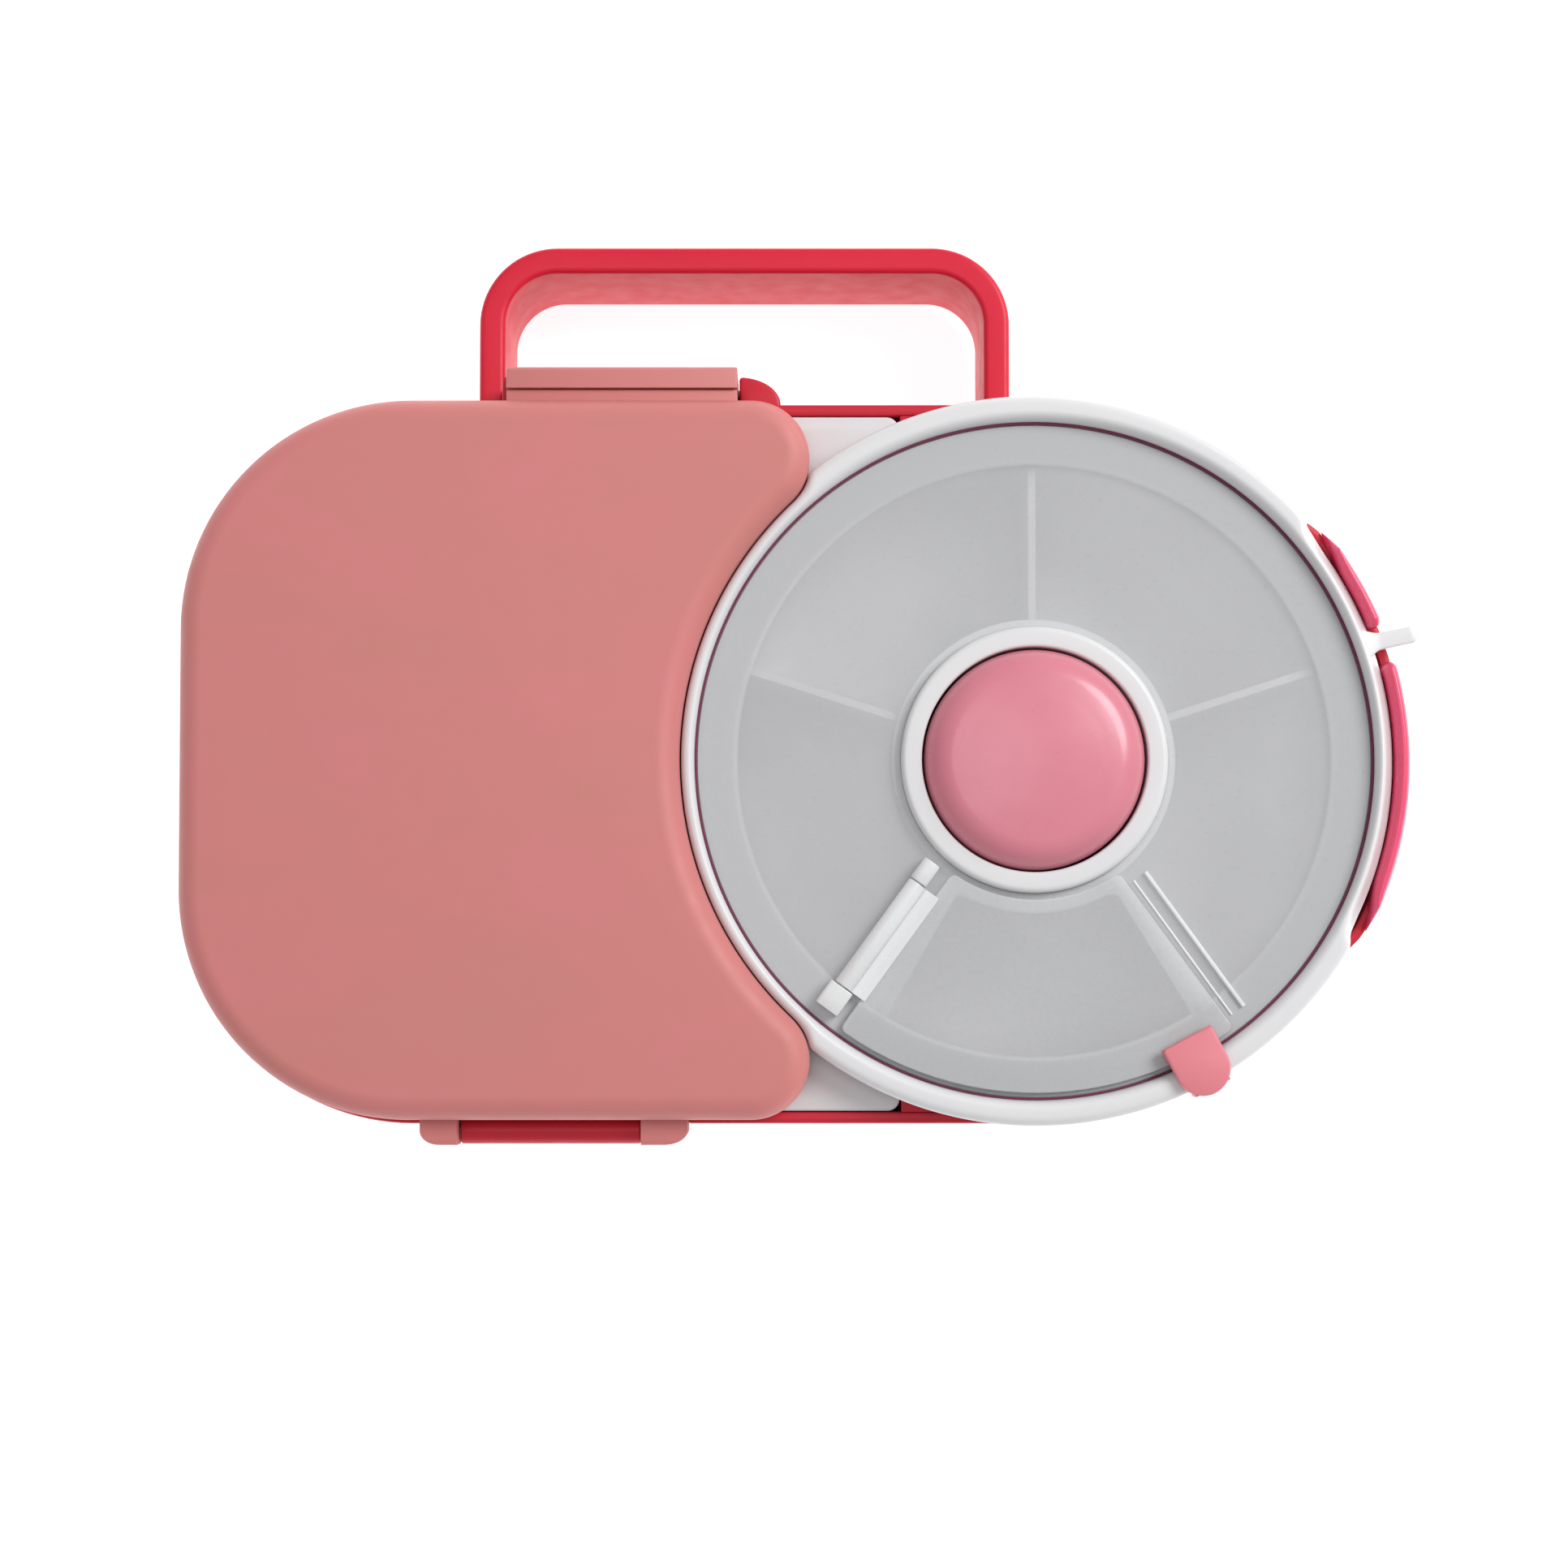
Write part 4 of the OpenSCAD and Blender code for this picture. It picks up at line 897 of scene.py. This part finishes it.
def window():
    """The fixed window, with the door's opening, its knuckles and two sealing ribs."""
    z0, z1 = WINDOW_Z + 0.06, WINDOW_Z + WINDOW_T
    profile = [(COLLAR_R + 0.1, z0), (WINDOW_R, z0), (WINDOW_R, z1 - 0.2), (WINDOW_R - 0.2, z1),
               (COLLAR_R + 0.3, z1), (COLLAR_R + 0.1, z1 - 0.2)]
    body = lathe("window_pane", profile, CLEAR)

    def opening(inset):
        return sector_outline(HINGE_A + 5, FREE_A - 4, 31.5, 64.5, inset, 2.5)
    combine(body, [stack("opening", opening, [(0, z0 - 1), (0, z1 + 1)], CLEAR)], "DIFFERENCE")
    parts = []
    for (u0, u1), half, corner in ((KNUCKLES[:2], KNUCKLE_R, 1.5), (KNUCKLES[2:], 2.7, 0.8)):
        top = DOOR_AXIS_Z + KNUCKLE_R - 0.1
        section = rounded([(HINGE_OFF - half, z1 - 0.6), (HINGE_OFF + half, z1 - 0.6),
                           (HINGE_OFF + half, top), (HINGE_OFF - half, top)], [0, 0, corner, corner], 6)
        parts.append(soften(turned_bar("knuckle", section, HINGE_A, u0, u1, CLEAR_THICK), 0.3, 2, 50))
    settle(joined("window_knuckles", parts), "ring_lid", "clear_plastic")
    ribs = []
    for off, width, height in ((4.4, 0.8, 0.8), (1.6, 0.5, 0.3)):
        end, foot, top = off + width, z1 - 0.5, z1 + height
        rib = rounded([(off, foot), (end, foot), (end, top), (off, top)], [0, 0, 0.2, 0.2], 3)
        ribs.append(turned_bar("rib", rib, FREE_A, 32, 66, CLEAR_THICK))
    settle(joined("sealing_ribs", ribs), "ring_lid", "clear_plastic")
    settle(body, "ring_lid", "clear_plastic", "window")


def door():
    """The lift-up door: a plate with a stepped hinge flange, a barrel and ears for the clip's pin."""
    z1 = DOOR_Z + DOOR_T

    def outline(inset):
        return sector_outline(HINGE_A, FREE_A + 0.3, 28.8, 68.3, inset, 1.4 - inset)
    body = stack("door_leaf_plate", outline, slab(DOOR_Z, z1, 0.3), CLEAR_DOOR)
    r0, r1 = KNUCKLES[1] + 0.3, KNUCKLES[2] - 0.3
    roll = arc((HINGE_OFF, DOOR_AXIS_Z), KNUCKLE_R, 0, 350, 35)
    barrel = turned_bar("barrel", roll, HINGE_A, r0, r1, CLEAR_THICK)
    strip = [(HINGE_OFF, DOOR_Z), (-0.04, DOOR_Z), (-0.04, z1), (HINGE_OFF, z1)]
    step = rounded([(-2.5, z1 - 0.4), (0.9, z1 - 0.4), (0.9, z1 + 0.45), (-2.5, z1 + 0.45)],
                   [0, 0, 0.3, 0.3], 3)
    parts = [turned_bar("strip", strip, HINGE_A, r0, r1, CLEAR_THICK),
             turned_bar("step", step, HINGE_A, r0, r1, CLEAR_THICK)]
    settle(combine(soften(barrel, 0.25, 2, 50), parts), "door_leaf", "clear_plastic")
    parts = []
    for side in (-1, 1):
        mid = side * (CLIP_W / 2 - 1.8)
        ear = [(mid - 0.7, z1 - 0.5), (mid + 0.7, z1 - 0.5), (mid + 0.7, z1 + 2.75), (mid - 0.7, z1 + 2.75)]
        bar = turned_bar("ear", ear, CLIP_A, CLIP_AXIS_R - 0.75, CLIP_AXIS_R + 0.75, CLEAR_DOOR)
        parts.append(soften(bar, 0.2, 2))
    settle(combine(body, parts), "door_leaf", "clear_plastic", "door")


def clip_outline(inset):
    """Plan of the rim clip in its own axes: a plate with a straight inner edge and a round nose."""
    nose = CLIP_W / 2 - inset
    inner = CLIP_AXIS_R - 1.3 + inset
    corner = 0.6
    pts = arc((CLIP_OUT - CLIP_W / 2, 0), nose, -90, 90, 28)
    pts += arc((inner + corner, nose - corner), corner, 90, 180, 4)
    return pts + arc((inner + corner, corner - nose), corner, 180, 270, 4)


def at_clip(points):
    """Points given outwards and along the rim, turned to the clip's direction."""
    a = math.radians(CLIP_A)
    return [(CENTRE[0] + u * math.cos(a) - v * math.sin(a), CENTRE[1] + u * math.sin(a) + v * math.cos(a), z)
            for u, v, z in points]


def rim_clip():
    """The clip: a bevelled plate on a split barrel, with a lip that hooks outside the ring."""
    plate_z, top = CLIP_TOP - 1.0, CLIP_TOP
    levels = [(0.15, plate_z), (0, plate_z + 0.15), (0, top - 0.55), (0.25, top - 0.12), (0.6, top)]
    rings = [at_clip([(u, v, z) for u, v in clip_outline(i)]) for i, z in levels]
    body = loft("rim_clip_plate", rings, CLIP_PINK)
    axis_z = DOOR_Z + DOOR_T + 2
    parts = []
    for y0, y1 in ((-CLIP_W / 2, -4.85), (-2.85, 2.85), (4.85, CLIP_W / 2)):
        start, end = at_clip([(CLIP_AXIS_R, y0, axis_z), (CLIP_AXIS_R, y1, axis_z)])
        parts.append(rod("barrel", start, end, 1.28, CLIP_PINK, 0.15))
    inner, low_z = CLIP_OUT - 1.6, low("rim_clip").z
    half = 3.0
    rings = []
    for k in range(17):
        a = math.radians(-half + 2 * half * k / 16)
        thin = 0.35 * (abs(k - 8) / 8) ** 4
        out = CLIP_OUT - 0.35 - 1.0 * (abs(k - 8) / 8) ** 2
        face, edge, z0 = max(out, inner + 0.6), max(out - 0.4, inner + 0.4), low_z + thin
        section = ((inner, plate_z + 0.4), (inner, z0 + 0.3), (inner + 0.3, z0), (edge, z0),
                   (face, z0 + 0.5), (face, plate_z + 0.4))
        rings.append(at_clip([(r * math.cos(a), r * math.sin(a), z) for r, z in section]))
    parts.append(loft("lip", rings, CLIP_PINK))
    settle(combine(body, parts), "clip", "clip_plastic", "rim_clip")


# ---------------------------------------------------------------- build

tub()
seat_ledge()
rim_guard()
handle()
feet()
lunch_tray()
lid()
latch()
snack_tray()
button()
spring()
ring()
pull_tab()
seal()
collar()
window()
door()
rim_clip()

dress("handle_screws", STEEL, 0.2)
dress("lid_hinge_pin", STEEL, 0.2)
dress("latch_pin", STEEL, 0.2)
dress("lid_liner", WHITE, 0.3)
dress("lid_gasket", SILICONE, 0.3)
dress("spinner_housing", WHITE, 0.4)
dress("centre_post", INNER, 0.4)
dress("post_screw", STEEL, 0.2)
dress("index_pawl", INNER, 0.3)
dress("index_wheel", INNER, 0.2)
dress("cam_follower", INNER, 0.2)
dress("cam_sleeve", INNER, 0.15)
dress("door_hinge_pin", CLEAR_DOOR)
dress("door_gasket", CLEAR_DOOR)
dress("clip_pin", STEEL)


# ---------------------------------------------------------------- floor, light and camera

def floor():
    n = Nodes("pale_floor")
    n.set(n.shader, "Base Color", n.mix(n.noise(6.0), (0.93, 0.93, 0.93, 1), (0.95, 0.95, 0.95, 1)))
    n.shader.inputs["Roughness"].default_value = 0.9
    n.shader.inputs["Specular IOR Level"].default_value = 0.1
    n.shader.inputs["Emission Color"].default_value = (1, 1, 1, 1)
    n.shader.inputs["Emission Strength"].default_value = 0.75
    size = 3000
    sheet = make("floor", [(-size, -size, 0), (size, -size, 0), (size, size, 0), (-size, size, 0)],
                 [(0, 1, 2, 3)], n.material)


def area_light(name, place, target, size, power):
    light = bpy.data.lights.new(name, "AREA")
    light.shape = "DISK"
    light.size = size
    light.energy = power
    obj = bpy.data.objects.new(name, light)
    obj.location = place
    obj.rotation_euler = (Vector(target) - Vector(place)).to_track_quat("-Z", "Y").to_euler()
    bpy.context.scene.collection.objects.link(obj)


def camera():
    cam = bpy.data.cameras.new("camera")
    cam.sensor_width = cam.sensor_height = 36
    cam.lens = 18 / math.tan(math.radians(16))
    obj = bpy.data.objects.new("camera", cam)
    obj.location = (-0.0028, -0.050, 0.6087)
    obj.rotation_euler = (math.radians(2.1), 0, 0)
    cam.shift_y = 0.076
    bpy.context.scene.collection.objects.link(obj)
    bpy.context.scene.camera = obj


floor()
camera()
area_light("key", (0.95, 0.60, 1.10), (0.0, 0.0, 0.03), 0.9, 16)
area_light("top", (-0.15, 0.1, 1.3), (0.0, 0.0, 0.03), 0.7, 1.7)
world = bpy.data.worlds.new("studio")
world.use_nodes = True
world.node_tree.nodes["Background"].inputs["Color"].default_value = (1.0, 1.0, 1.0, 1.0)
world.node_tree.nodes["Background"].inputs["Strength"].default_value = 0.45
bpy.context.scene.world = world
bpy.context.scene.view_settings.view_transform = "Standard"
